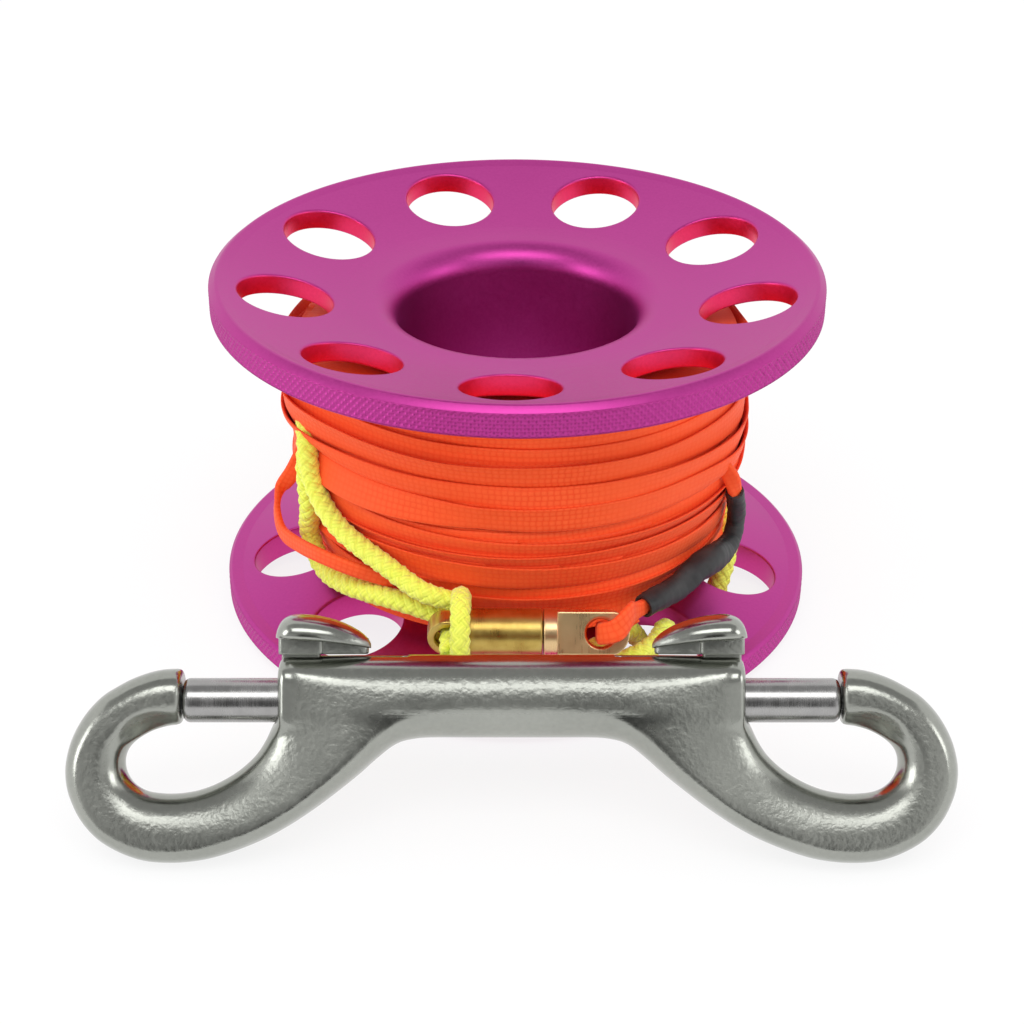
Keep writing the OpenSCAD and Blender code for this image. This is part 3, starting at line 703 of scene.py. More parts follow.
def knurl_ring(foot):
    """The knurled band of a rim: a closed ring with diamonds standing on its outer side."""
    n, rows = 1800, 21
    a = around(n)
    pitch = 2 * math.pi * FLANGE_R / KNURLS
    arc, z = np.meshgrid(a * FLANGE_R, np.linspace(foot, KNURL_TOP, rows), indexing="ij")

    def ridge(t):
        t = t / pitch
        return 1 - 2 * np.abs(t - np.floor(t) - 0.5)

    diamond = np.minimum(ridge(arc + 0.9 * z), ridge(arc - 0.9 * z))
    fade = np.clip(np.minimum(z - foot, KNURL_TOP - z) / 0.2, 0, 1)
    r = FLANGE_R - 0.03 - 0.03 * (1 - fade) - KNURL_DEPTH * fade * (1 - np.minimum(diamond * 1.25, 1))
    r = np.column_stack([r, np.full((n, 2), KNURL_BACK_R)])
    z = np.column_stack([z, np.full(n, KNURL_TOP), np.full(n, foot)])
    return polar(r, a, z).reshape(-1, 3), [grid_faces(n, rows + 2, wrap_rows=True, wrap_cols=True)]


def flip_up(v, f):
    """A flange drawn as the lower one, turned over to the top."""
    return v * [1, 1, -1] + [0, 0, SPOOL_H], [q[:, ::-1] for q in f]


for half, turn, spigot, knurl_foot in (("lower", -3.6, False, 1.3), ("upper", -1.5, True, 0.8)):
    v, f, attrs = flange_half(turn, spigot)
    kv, kf = knurl_ring(knurl_foot)
    if spigot:
        (v, f), (kv, kf) = flip_up(v, f), flip_up(kv, kf)
    flange = make(half + "_flange_turned", v, f, MAT["spool"], attrs, sharp=32)
    belongs(flange, "spool", "anodised_spool", half + "_flange")
    belongs(make(half + "_rim_knurl", kv, kf, MAT["spool"]), "spool", "anodised_spool")

# ------------------------------ wound line

PACK_R, PACK_FULL_Z, LOW_TAPER, HIGH_TAPER = 30.4, 28.0, 3.2, 1.0
PACK_HIGH = SPOOL_H - PACK_LOW
# the pack's surface is a grid of radii, by angle and height
RAYS, LEVELS = 240, 340
THETA = around(RAYS)
ZS = np.linspace(PACK_LOW, PACK_HIGH, LEVELS)
DZ = ZS[1] - ZS[0]
LINE_HALF, LINE_T, TURN_R = 1.8, 0.42, 29.5
# the first turns lie this deep under the pack's outline
GROUND_DEPTH = 2.2
# layers, turns in each, and how many grid steps a turn takes to run into the next
PASSES, PER_PASS, JOIN = 6, 9, 12
# a turn is left out where it is buried deeper than REACH over all but OPEN_SHARE of it
REACH, OPEN_SHARE = 0.12, 0.02
# how far a turn wanders up and down: waves for each turn, millimetres
WANDER = ((0.43, 0.45), (0.77, 0.5), (1.31, 0.42), (2.1, 0.2), (3.3, 0.05))
# section of the flat line: TOP points from one edge to the other, then back underneath
TOP = 11
LINE_U = np.array([
    -1.0, -0.97, -0.86, -0.62, -0.32, 0.0, 0.32, 0.62, 0.86, 0.97, 1.0, 0.93, 0.5, -0.5, -0.93,
])
LINE_H = LINE_T * np.array([
    -0.5, -0.22, -0.08, -0.02, 0.0, 0.0, 0.0, -0.02, -0.08, -0.22, -0.5, -0.9, -1.0, -1.0, -0.9,
])


def pack_radius(z):
    z = np.asarray(z, float)
    low = PACK_R - LOW_TAPER * ((PACK_FULL_Z - z) / (PACK_FULL_Z - PACK_LOW)) ** 2
    high = PACK_R - HIGH_TAPER * ((z - PACK_FULL_Z) / (PACK_HIGH - PACK_FULL_Z)) ** 2
    return np.where(z < PACK_FULL_Z, low, high)


def blur_turn(x, sigma):
    """Smooths values round one closed turn."""
    n = len(x)
    k = np.fft.rfftfreq(n) * n
    return np.fft.irfft(np.fft.rfft(x) * np.exp(-0.5 * (k * sigma / n * 2 * math.pi) ** 2), n)


def bulge(at, spread, low, high):
    """Where outer turns lie over a cord: 1 inside an arc and a height range, easing to 0."""
    away = (np.degrees(THETA) - at + 180) % 360 - 180
    rise = np.clip((ZS - low) / 3.0, 0, 1) * np.clip((high - ZS) / 3.0, 0, 1)
    return np.exp(-0.5 * (away / spread) ** 2)[:, None] * (rise * rise * (3 - 2 * rise))


def column(z):
    """Places of heights among the grid's columns."""
    return np.clip((z - PACK_LOW) / DZ, 0, LEVELS - 1.001)


def at_heights(grid, z):
    """A grid's values at heights z, which has one row for each angle."""
    rows, col = np.arange(RAYS)[:, None], column(z)
    i = col.astype(int)
    return grid[rows, i] * (1 - (col - i)) + grid[rows, i + 1] * (col - i)


def wind_line():
    """Lays the line turn by turn on what is under it. Gives the turns, the surface, and its shift."""
    height = np.tile(pack_radius(ZS) - GROUND_DEPTH, (RAYS, 1))
    width_steps = np.linspace(-1, 1, 11)
    low, high = PACK_LOW + LINE_HALF + 0.05, PACK_HIGH - LINE_HALF - 0.05
    count = PASSES * PER_PASS
    s = np.arange((count + 1) * RAYS + 1) / RAYS
    lap = np.minimum(s // PER_PASS, PASSES)
    t = s / PER_PASS - lap
    level = low + (high - low) * np.where(lap % 2 == 0, t, 1 - t)
    wobble = sum(size * np.sin(2 * math.pi * (s * wave + rng.random())) for wave, size in WANDER)
    steps = np.interp(s, np.arange(count + 3), rng.normal(0, 0.5, count + 3))
    centre = smooth(np.clip(level + wobble + steps, low, high), 60, 22)
    turns = []
    for turn in range(count):
        c = centre[turn * RAYS:(turn + 1) * RAYS]
        under = at_heights(height, c[:, None] + LINE_HALF * width_steps)
        halves = (under[:, :5], under[:, 6:])
        left, right = [blur_turn(0.35 * x.max(1) + 0.65 * x.mean(1), 5.0) for x in halves]
        tilt = np.clip((right - left) / (0.8 * LINE_HALF), -0.5, 0.5)
        mid = 0.5 * (left + right)
        lift = np.clip((under - (mid[:, None] + tilt[:, None] * LINE_HALF * width_steps)).max(1), 0, 0.5)
        mid = mid + 0.55 * blur_turn(lift, 3.0) + LINE_T
        turns.append((c, mid, tilt))
        cover = np.abs(ZS - c[:, None]) / LINE_HALF
        top = mid[:, None] + tilt[:, None] * (ZS - c[:, None]) - 0.10 * cover**4
        height = np.where(cover <= 1, np.maximum(height, top), height)
    # the outline is the pack's, a little fuller on the right and where turns lie over the cords
    plain = np.stack([smooth(row, 30, 14) for row in height])
    plain = np.stack([blur_turn(plain[:, j], 10.0) for j in range(LEVELS)], 1)
    fuller = 0.45 * np.clip(np.cos(THETA), 0, 1)[:, None] ** 2 * np.exp(-0.5 * ((ZS - 29) / 6) ** 2)
    over_cord, over_lead = bulge(202, 13, 28.0, 42), bulge(333, 8, 23.2, 31)
    target = pack_radius(ZS) + fuller + 1.6 * over_cord + 0.8 * over_lead - 0.08
    return turns, height, target - plain


def line_pieces():
    """The turns that can be seen, and the inner layers under them as one closed body."""
    turns, height, shift = wind_line()
    rows = np.arange(RAYS)[:, None]
    u = LINE_U * LINE_HALF
    # painted shade: darker towards the strip's edges, darker still on its underside
    shade = 0.75 + 0.25 * np.clip((1 - np.abs(LINE_U)) / 0.10, 0, 1)
    shade[TOP:] = 0.6
    w = np.clip((np.arange(RAYS) - (RAYS - JOIN)) / JOIN, 0, 1)[:, None]
    w = w * w * (3 - 2 * w)
    parts = []
    for t, (c, mid, tilt) in enumerate(turns):
        z = c[:, None] + u
        r = mid[:, None] + tilt[:, None] * u + LINE_H
        buried = height[rows, column(z[:, :TOP]).astype(int)] - r[:, :TOP]
        if (buried < REACH).mean() < OPEN_SHARE:
            continue
        # it runs on into the next one, so the line stays whole
        if t + 1 < len(turns):
            c2, mid2, tilt2 = (x[0] for x in turns[t + 1])
            z2, r2 = c2 + u, mid2 + tilt2 * u + LINE_H
            z = z * (1 - w) + z2 * w
            r = r * (1 - w) + r2 * w
        v = polar(r + at_heights(shift, z), THETA, z)
        if t + 1 < len(turns):
            end_r = r2 + shift[0, column(z2).astype(int)]
            v = np.concatenate([v, np.stack([end_r, np.zeros_like(end_r), z2], -1)[None]])
        n, m = v.shape[:2]
        parts.append((v.reshape(-1, 3), tube_faces(n, m, flip=True), {
            "along": np.repeat((np.arange(n) / RAYS + t) * 2 * math.pi * TURN_R, m),
            "across": np.tile(u, n),
            "shade": np.tile(shade, n),
        }))
    print("turns shown:", len(parts), "of", len(turns))
    # the inner layers under the turns, a little darkened as painted shade
    some = np.arange(0, LEVELS, 4)
    base = np.minimum((height + shift)[:, some] - 0.62, pack_radius(ZS[some]) - 0.3)
    ends = np.tile([HUB_R + 0.02, HUB_R + 1.3], (RAYS, 1))
    z = np.concatenate([[PACK_LOW + 1.3, PACK_LOW], ZS[some], [PACK_HIGH, PACK_HIGH - 1.3]])
    m = len(z)
    v = polar(np.concatenate([ends, base, ends[:, ::-1]], 1), THETA, z)
    parts.append((v.reshape(-1, 3), [grid_faces(RAYS, m, wrap_rows=True, wrap_cols=True)], {
        "along": np.repeat(THETA * TURN_R, m),
        "across": np.tile(z, RAYS),
        "shade": np.full(RAYS * m, 0.85),
    }))
    return merged(parts)


v, f, attrs = line_pieces()
belongs(make("wound_line", v, f, MAT["line"], attrs), "spool", "line", "line_core", "line_winding")

# ------------------------------ flat line: slack bight and end loop

TAPE_U = np.array([
    -1.0, -0.96, -0.85, -0.55, -0.2, 0.2, 0.55, 0.85, 0.96, 1.0, 0.96, 0.85, 0.55, 0.2, -0.2, -0.55,
    -0.85, -0.96,
])
TAPE_V = np.array([
    0.0, 0.5, 0.82, 0.97, 1.0, 1.0, 0.97, 0.82, 0.5, 0.0, -0.5, -0.82, -0.97, -1.0, -1.0, -0.97, -0.82,
    -0.5,
])


def tape(route, widths, half_w, half_t, step):
    """A flat woven line along a route, its width lying along the given directions."""
    table = np.column_stack([route, widths, half_w, half_t])
    both, s, _ = even(catmull(table, 8), step)
    places = both[:, :3]
    ways = headings(places)
    side = across_way(both[:, 3:6], ways)
    section = np.stack([TAPE_U * both[:, 6:7], TAPE_V * both[:, 7:8]], -1)
    v, faces = sweep(places, side, np.cross(ways, side), section)
    # painted shade: the tape darkens towards its edges
    return v, faces, {
        "along": np.repeat(s, len(TAPE_U)),
        "across": np.tile(TAPE_U * 1.2, len(s)),
        "shade": np.tile(0.7 + 0.3 * np.clip((1 - np.abs(TAPE_U)) / 0.15, 0, 1), len(s)),
    }


SLACK = [
    (-26.6, -11.4, 28.4), (-27.5, -11.2, 26.6), (-29.3, -10.9, 22.8), (-31.2, -10.6, 19.6),
    (-31.7, -11.2, 16.8), (-30.8, -13.6, 15), (-28.4, -17.7, 15.6), (-24.9, -22.3, 16.6),
    (-20.6, -24.5, 16), (-15.5, -24.8, 14.5),
]
slack_widths = [(-0.2, -0.1, 1)] * 3 + [(0.2, -0.3, 1)] + [(0.1, -0.1, 1)] * 6
v, f, attrs = tape(SLACK, slack_widths, [1.1] * 10, [0.42] * 10, 0.3)
belongs(make("slack_bight", v, f, MAT["line"], attrs), "spool", "line", "line_slack_loop")

END_LEAD = [(25.4, -15.4, 28), (27.6, -14.9, 24.6)]
SLEEVE = [
    (28.5, -13.8, 21.7), (28.9, -12.4, 19.5), (29.3, -10.3, 15.5), (28.9, -11.3, 13.3), (27.6, -14, 13),
    (25.4, -18.3, 14), (23, -20.9, 13.6), (20.6, -23.2, 12.7), (16.2, -27.3, 12.4),
]
END_EYE = [
    (14.6, -30.6, 13.6), (14.2, -34.4, 16), (12.4, -37.2, 15.4), (10.5, -36.2, 14.1), (10.5, -33.8, 12.7),
    (10.5, -31.4, 11.3), (12.6, -29.6, 11), (15.2, -28.6, 12),
]
end_widths = [(0, -0.3, 1)] * 3 + [(0.3, 0.3, 1)] * 7 + [(0.3, 0.6, 0.8)] + [(0, 0.5, 0.866)] * 8
end_half_w = [1.15, 1.15, 0.95] + [0.85] * 7 + [1.0, 1.35, 1.4, 1.4, 1.35, 1.3, 1.3, 1.2, 1.0]
end_half_t = [0.4, 0.4, 0.6] + [0.8] * 7 + [0.6] + [0.42] * 8
v, f, attrs = tape(END_LEAD + SLEEVE + END_EYE, end_widths, end_half_w, end_half_t, 0.25)
end_loop = make("line_end_tape", v, f, MAT["line"], attrs)
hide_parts("line_end_loop")
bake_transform(end_loop)

# ------------------------------ heat shrink sleeve


def sleeve_piece():
    """Shrunk tube over the line's end, open at both ends, with the lump of the knot in it."""
    inside = [0.72, 0.72, 0.72, 0.8, 1.0, 1.4, 1.25, 1.15, 1.05]
    places, s, total = even(catmull(np.column_stack([SLEEVE, inside]), 10), 0.25)
    ways = headings(places[:, :3])
    side = carried_sides(ways, (0, 0, 1))
    other = np.cross(ways, side)
    m = 32
    fold = 0.03 * np.sin(s * 2.3) + 0.022 * np.sin(s * 5.1 + 1) + 0.015 * np.sin(s * 9.7 + 2)
    end = np.minimum(s, total - s)
    inner = (places[:, 3] + 0.12)[:, None]
    outer = inner + (0.38 + fold - 0.1 * np.exp(-end / 0.3))[:, None]
    squash = 1 + 0.05 * np.sin(3 * around(m) + s[:, None] * 0.7) * np.minimum(end, 1)[:, None]
    vo, fo = sweep(places[:, :3], side, other, circle(m) * (outer * squash)[..., None])
    vi, fi = sweep(places[:, :3], side, other, circle(m) * inner[..., None])
    n = len(vo)
    k = np.arange(m)
    lip = np.stack([k, (k + 1) % m, n + (k + 1) % m, n + k], 1)
    return np.concatenate([vo, vi]), [fo[0], fi[0][:, ::-1] + n, lip[:, ::-1], (len(s) - 1) * m + lip]


v, f = sleeve_piece()
belongs(make("heat_shrink", v, f, MAT["sleeve"], sharp=50), "spool", "sleeve", "heat_shrink_sleeve")

# ------------------------------ lanyard

# places along the cord, with its radius where it is pressed thinner
LANYARD_R = 1.45
LANYARD = [
    (-7.5, -30.7, 15.2, 1.3), (-11.6, -30.1, 16.2), (-15.3, -27.6, 17.6), (-22.5, -22.3, 20.9),
    (-26, -17.9, 25), (-26.8, -15.6, 30), (-27.3, -9.5, 33.2), (-28.2, -1, 34), (-26, 11.5, 33.4),
    (-19.6, 25.4, 29.6), (-5, 32.1, 25), (11, 30.1, 19.6), (24, 19.3, 14.2), (28.5, 8, 11.7),
    (29.1, 0, 10.6), (28.9, -6.4, 8), (27.7, -9.4, 4, 1.3), (27.4, -11.4, 1.3, 0.95),
    (23.6, -16.8, 1, 0.95), (21.4, -19.8, 1.2, 0.95), (20, -21.9, 3.9, 1.3), (19.3, -24.6, 7.3),
    (17.9, -28.2, 7.5), (15.2, -31.2, 7.5), (11.6, -32.4, 7.3), (9.7, -30.2, 7.3), (11.6, -27.9, 7.4),
    (14.5, -25.1, 7.3), (16.2, -22.3, 4, 1.3), (17.5, -20, 1.3, 0.95), (22.1, -14.5, 1, 0.95),
    (26.1, -8.7, 1.3, 0.95), (28.1, -5.4, 3.8, 1.3), (28.8, -2.4, 6.6), (29.2, 2.5, 7.1),
    (27.9, 10.4, 8.1), (23.6, 19.6, 10.5), (11, 30.1, 15.8), (-5, 32.1, 21.4), (-19.6, 25.4, 26),
    (-26, 11.5, 29.8), (-28, -1, 31), (-27, -10.5, 29.6), (-27.2, -14.6, 25.2), (-26.9, -15.3, 20),
    (-27.2, -13.6, 14.8), (-25.3, -16.4, 11.2), (-21.5, -21.6, 11.7), (-13.9, -27.5, 12.9),
    (-7.5, -30.1, 11.9, 1.3),
]
LANYARD = np.array([p if len(p) == 4 else (*p, LANYARD_R) for p in LANYARD])
PLAIT_PITCH, STRAND_SIDES, CORE_SIDES = 6.0, 8, 10
PLAIT_R, PLAIT_WAVE, STRAND_W, STRAND_T, CORE_R = 0.84, 0.20, 0.70, 0.41, 0.80


def braid(route, side, closed=False):
    """Eight strands plaited round a core, four each way, passing over and under each other."""
    places, s, total = even(route, 0.32, closed)
    ways = headings(places[:, :3], closed)
    across = carried_sides(ways, side)
    other = np.cross(ways, across)
    turns = total / PLAIT_PITCH
    if closed:
        turns = round(turns)
    w = 2 * math.pi * turns * s / total
    fit = np.clip(places[:, 3] / LANYARD_R, 0.6, 1.0)
    strand = circle(STRAND_SIDES)
    parts = []
    for way in (1, -1):
        for k in range(4):
            a = way * w + k * math.pi / 2
            over = way * np.cos(4 * w)
            r = (PLAIT_R + PLAIT_WAVE * over) * fit
            c = np.cos(a)[:, None] * across + np.sin(a)[:, None] * other
            line = places[:, :3] + r[:, None] * c
            t = headings(line, closed)
            up = across_way(c, t)
            section = strand * np.stack([STRAND_W * fit, STRAND_T * fit], -1)[:, None]
            v, f = sweep(line, np.cross(t, up), up, section, closed)
            # painted shade: darker on the strand's inner side and where it dips under the others
            shade = 0.55 + 0.45 * np.clip(0.5 + 0.7 * strand[:, 1] + 0.35 * over[:, None], 0, 1)
            parts.append((v, f, {
                "along": np.repeat(s, STRAND_SIDES),
                "across": np.tile(0.6 * strand[:, 0], len(s)),
                "shade": shade.ravel(),
            }))
    # the core under the strands, so that nothing shows through, darkened as painted shade
    v, f = sweep(places[:, :3], across, other, circle(CORE_SIDES) * (CORE_R * fit)[:, None, None], closed)
    parts.append((v, f, {
        "along": np.repeat(s, CORE_SIDES),
        "across": np.tile(around(CORE_SIDES), len(s)),
        "shade": np.full(len(v), 0.35),
    }))
    return merged(parts), total


SWIVEL = np.array([-11.0, -33.8, 12.7])
# the hitch round the barrel, and the cord's run through the fixed eye
HITCH_X, HITCH_RING_R, HITCH_R = 4.15, 4.45, 1.35
PLUG_AT, PLUG_WAY = [-8.2, -33.8, 12.7], [0, -0.985, -0.174]
hitch = np.column_stack([np.full(36, HITCH_X), HITCH_RING_R * circle(36), np.full(36, HITCH_R)])
hitch[:, :3] += SWIVEL
plug_run = np.linspace(-3.2, 3.9, 10)[:, None] * PLUG_WAY
plug = np.column_stack([plug_run + PLUG_AT, np.full(10, HITCH_R)])
cords = [
    braid(catmull(LANYARD, 6), (0, 0, 1)),
    braid(hitch, (1, 0, 0), closed=True),
    braid(plug, (1, 0, 0)),
]
print("lanyard length mm:", *(round(length, 1) for _, length in cords))
v, f, attrs = merged([shape for shape, _ in cords])
belongs(make("braided_lanyard", v, f, MAT["cord"], attrs), "spool", "lanyard", "lanyard_cord")

# ------------------------------ swivel

SW_R, SW_LEN, EYE_LEN, COLLAR, TONGUE_T, EYE_HOLE = 3.0, 25.1, 10.7, 1.8, 2.6, 1.75
COLLAR_X = SW_LEN - EYE_LEN
BARREL_END = COLLAR_X - 0.12
BUSH_LEN, HEAD_LEN = 4.0, 1.0
BUSH_X = BARREL_END - 0.2 - BUSH_LEN
HEAD_X = BUSH_X - 0.1 - HEAD_LEN
CHAMBER_X = BUSH_X - HEAD_LEN - 0.4
STEM_R, HEAD_R, CHAMBER_R, BUSH_R = 1.4, 1.95, 2.21, 2.2
# chamfer at both mouths of an eye's hole, along the hole and across it
MOUTH_DEEP, MOUTH_WIDE = 0.3, 0.22
# each eye: length of its tongue, turn in degrees and place of its hole
FIXED_EYE, TURNING_EYE = (5.1, 10, 2.8), (EYE_LEN - COLLAR + 0.5, -30, 3.6)


def rod_field(p, x0, x1, r, edge):
    """A round rod along X with eased ends."""
    q = np.hypot(p[:, 1], p[:, 2]) - r
    e = np.maximum(x0 - p[:, 0], p[:, 0] - x1)
    return smax(q, e, edge)


def tongue_field(p, length, tilt, hole, r):
    """A flat tongue with a round tip at x = 0, milled from the round rod."""
    c, s = math.cos(math.radians(tilt)), math.sin(math.radians(tilt))
    y, z = c * p[:, 1] + s * p[:, 2], -s * p[:, 1] + c * p[:, 2]
    x = p[:, 0]
    round_ = np.hypot(y, z) - r
    tip = np.where(x < r, np.hypot(x - r, z) - r, np.abs(z) - r)
    body = smax(smax(round_, np.maximum(tip, x - length), 0.12), np.abs(y) - TONGUE_T / 2, 0.16)
    mouth = np.clip((np.abs(y) - TONGUE_T / 2 + MOUTH_DEEP) / MOUTH_DEEP, 0, 1.3)
    hole_ = EYE_HOLE - np.hypot(x - hole, z) + MOUTH_WIDE * mouth
    return smax(body, hole_, 0.1)


def barrel_field(p):
    body = np.minimum(tongue_field(p, *FIXED_EYE, SW_R - 0.05), rod_field(p, 4.6, BARREL_END, SW_R, 0.3))
    chamber = rod_field(p, CHAMBER_X, SW_LEN, CHAMBER_R, 0.05)
    return smax(body, -chamber, 0.08)


def eye_field(p):
    m = p * [-1, 1, 1] + [SW_LEN, 0, 0]
    collar = rod_field(p, COLLAR_X, COLLAR_X + COLLAR, SW_R, 0.25)
    body = np.minimum(collar, tongue_field(m, *TURNING_EYE, SW_R - 0.05))
    body = np.minimum(body, rod_field(p, HEAD_X, COLLAR_X + 0.4, STEM_R, 0.05))
    return np.minimum(body, rod_field(p, HEAD_X, HEAD_X + HEAD_LEN, HEAD_R, 0.15))


for name, field, x0, x1, solid, body, look in (
    ("swivel_barrel_turned", barrel_field, -0.3, BARREL_END + 0.3, "swivel_barrel", "spool", "brass"),
    ("swivel_eye_turned", eye_field, HEAD_X - 0.3, SW_LEN + 0.3, "swivel_eye", "swivel_eye", "brass_eye_painted_light"),
):
    v, f = nets(field, (x0, -3.3, -3.3), (x1, 3.3, 3.3), 0.13)
    belongs(make(name, v + SWIVEL, f, MAT[look], sharp=40), body, "brass", solid)

bush_in, bush_end = STEM_R + 0.05, BUSH_X + BUSH_LEN
bush = [(BUSH_X, bush_in), (BUSH_X, BUSH_R), (bush_end, BUSH_R), (bush_end, bush_in)]
v, f = lathe(rounded(bush, [0.05, 0.15, 0.15, 0.05], 3), 64)
belongs(make("swivel_bush_turned", v + SWIVEL, f, MAT["brass"], sharp=40), "spool", "brass", "swivel_bush")

# ------------------------------ bolt snap

LEAN = math.radians(30)
BAR_END, BAR_SEEN, GATE_R, BORE = 26.9, 4.69, 2.55, 2.61
NOSE_X, TIP_X, GATE_LEN, GATE_TRAVEL = 37.85, 37.70, 19.0, 9.4
GATE_BACK = TIP_X - GATE_LEN
CHAMBER_IN = 2.0
KNOB_FOOT, NECK_LEN = 4.86, 5.1
SLOT_HALF, SLOT_END = 0.95, BAR_END - 0.2 - NECK_LEN - GATE_TRAVEL - 0.24
# the hook is open from here out to its nose, and so far up and down from the axis
OPEN_X, OPEN_HALF = 31.5, 5.0
# ends of the cutters for the bore and the slot, out past the bar
BORE_CUT_X, SLOT_CUT_X = 37.3, 30
# the bar's front and back are flatter, and come closer together outwards from TAPER_X
BAR_SIDE, SIDE_TAPER, TAPER_X = 4.95, 0.085, 13
# flat along the inner side of the bend: centre of the bend, size of the flat, and its slopes
BEND_U, BEND_V, FLAT_R, FLAT_IN, FLAT_ACROSS = -40.25, -7.3, 6.75, 0.72, 0.70
# metal left by the flat at the nose, and how much more is left further round: from MORE_FROM degrees on,
# over MORE_OVER. KEEP_ALL is so much that nothing is cut: below the centre, and inwards of FLAT_END_U
FLAT_KEEP, KEEP_MORE, MORE_FROM, MORE_OVER, KEEP_ALL, FLAT_END_U = 2.72, 0.9, 20, 75, 9, -36

SNAP = np.array([-0.5, 15.4 * math.sin(LEAN) - 61.25, 15.4 * math.cos(LEAN) + 3.7])
SNAP_AXES = np.array([(1, 0, 0), (0, math.cos(LEAN), -math.sin(LEAN)), (0, math.sin(LEAN), math.cos(LEAN))])
ROLL, GATE_DROP = math.radians(0.25), 0.5


def placed(v, drop=0.0):
    """From the snap's own frame (along, away, up) to the object's frame."""
    c, s = math.cos(ROLL), math.sin(ROLL)
    return (np.asarray(v, float) - [0, 0, drop]) @ [[c, 0, s], [0, 1, 0], [-s, 0, c]] @ SNAP_AXES + SNAP


# Outline of one hook in the plane of the snap (along, up): outer side, then the eye's side.
OUTER = [
    (-33.0, 3.1), (-38.4, 3.12), (-40.8, 2.9), (-43.2, 2.15), (-45.2, 1.15), (-47.2, -0.15),
    (-49.1, -2.25), (-50.5, -4.8), (-51.2, -7.4), (-51.25, -9.6), (-50.75, -11.75), (-49.5, -14.25),
    (-47.5, -16.45), (-44.9, -18.0), (-42.2, -18.9), (-39.3, -19.15), (-36.3, -18.95), (-33.3, -18.3),
    (-29.4, -16.87), (-26.0, -15.15), (-22.2, -12.65), (-18.0, -9.4), (-15.5, -7.2), (-13.5, -5.65),
    (-11.5, -4.85), (-8.5, -4.4), (0.0, -4.3),
]
INNER = [
    (-25.4, 4.3), (-26.0, 1.5), (-26.6, -1.4), (-27.55, -3.55), (-28.4, -5.3), (-29.45, -6.85),
    (-31.1, -8.4), (-32.85, -9.55), (-34.6, -10.4), (-36.4, -10.97), (-38.3, -11.25), (-40.2, -11.25),
    (-42.0, -10.95), (-43.4, -10.1), (-44.25, -8.8), (-44.45, -7.4), (-44.05, -6.1), (-43.0, -5.0),
    (-41.4, -4.05), (-39.7, -3.5), (-38.3, -3.3), (-36.5, -3.2), (-33.0, -3.15),
]
# Half thickness at points of that plane, and how wide the rounding is on the eye's side and outside.
THICK = [
    (-39, 0, 3.15, 3.2, 2.6), (-44, 0.5, 3.2, 3.0, 2.5), (-49, -7, 3.35, 3.0, 2.3),
    (-44, -16, 3.6, 4.2, 1.9), (-37, -15.5, 3.8, 4.6, 1.9), (-30, -12.5, 4.2, 7.0, 1.9),
    (-24, -9, 4.8, 10.0, 2.0), (-19, -5.5, 4.9, 10.0, 2.3), (-27, -1.5, 3.75, 1.5, 2.0),
    (-25, 3, 3.6, 1.6, 2.2), (-14, 0, 4.4, 4.3, 3.0), (0, 0, 4.3, 4.3, 4.3),
]
THICK_REACH = 3.6
CELL = 0.2
US, VS = np.arange(-53, 2.01, CELL), np.arange(-21, 6.61, CELL)


def plane_field():
    """On a grid of the plane: distance from the eye's side and from the outside, and THICK's values."""
    outer = np.concatenate([catmull(OUTER, 5), [(6.0, -4.3)]])
    inner = np.concatenate([[(6.0, 4.3)], catmull(INNER, 5)])
    loop = np.concatenate([outer, inner])
    p = np.stack(np.meshgrid(US, VS, indexing="ij"), -1).reshape(-1, 2)
    inside = np.zeros(len(p), bool)
    for q, r in zip(loop, np.roll(loop, -1, 0)):
        if q[1] != r[1]:
            inside ^= ((q[1] > p[:, 1]) != (r[1] > p[:, 1])) & (
                p[:, 0] < (r[0] - q[0]) * (p[:, 1] - q[1]) / (r[1] - q[1]) + q[0])
    away = []
    for line in (inner, outer):
        best = np.full(len(p), 1e9)
        for q, r in zip(line[:-1], line[1:]):
            d = r - q
            t = np.clip(((p - q) @ d) / max(d @ d, 1e-12), 0, 1)
            best = np.minimum(best, ((p - q - t[:, None] * d) ** 2).sum(1))
        away.append(np.sqrt(best))
    near = np.minimum(*away)
    away = [np.where(~inside & (a == near), -a, a) for a in away]
    weight = np.zeros(len(p))
    total = np.zeros((len(p), 3))
    for x, y, *values in THICK:
        k = np.exp(-((p - [x, y]) ** 2).sum(1) / (2 * THICK_REACH**2)) + 1e-7
        weight += k
        total += k[:, None] * values
    return [g.reshape(len(US), len(VS)) for g in (*away, *(total / weight[:, None]).T)]


def sample(grid, u, v):
    x = np.clip((u - US[0]) / CELL, 0, len(US) - 1.001)
    y = np.clip((v - VS[0]) / CELL, 0, len(VS) - 1.001)
    i, j = x.astype(int), y.astype(int)
    x, y = x - i, y - j
    low = grid[i, j] * (1 - x) + grid[i + 1, j] * x
    return low * (1 - y) + (grid[i, j + 1] * (1 - x) + grid[i + 1, j + 1] * x) * y


IN_DIST, OUT_DIST, HALF_T, IN_ROUND, OUT_ROUND = plane_field()


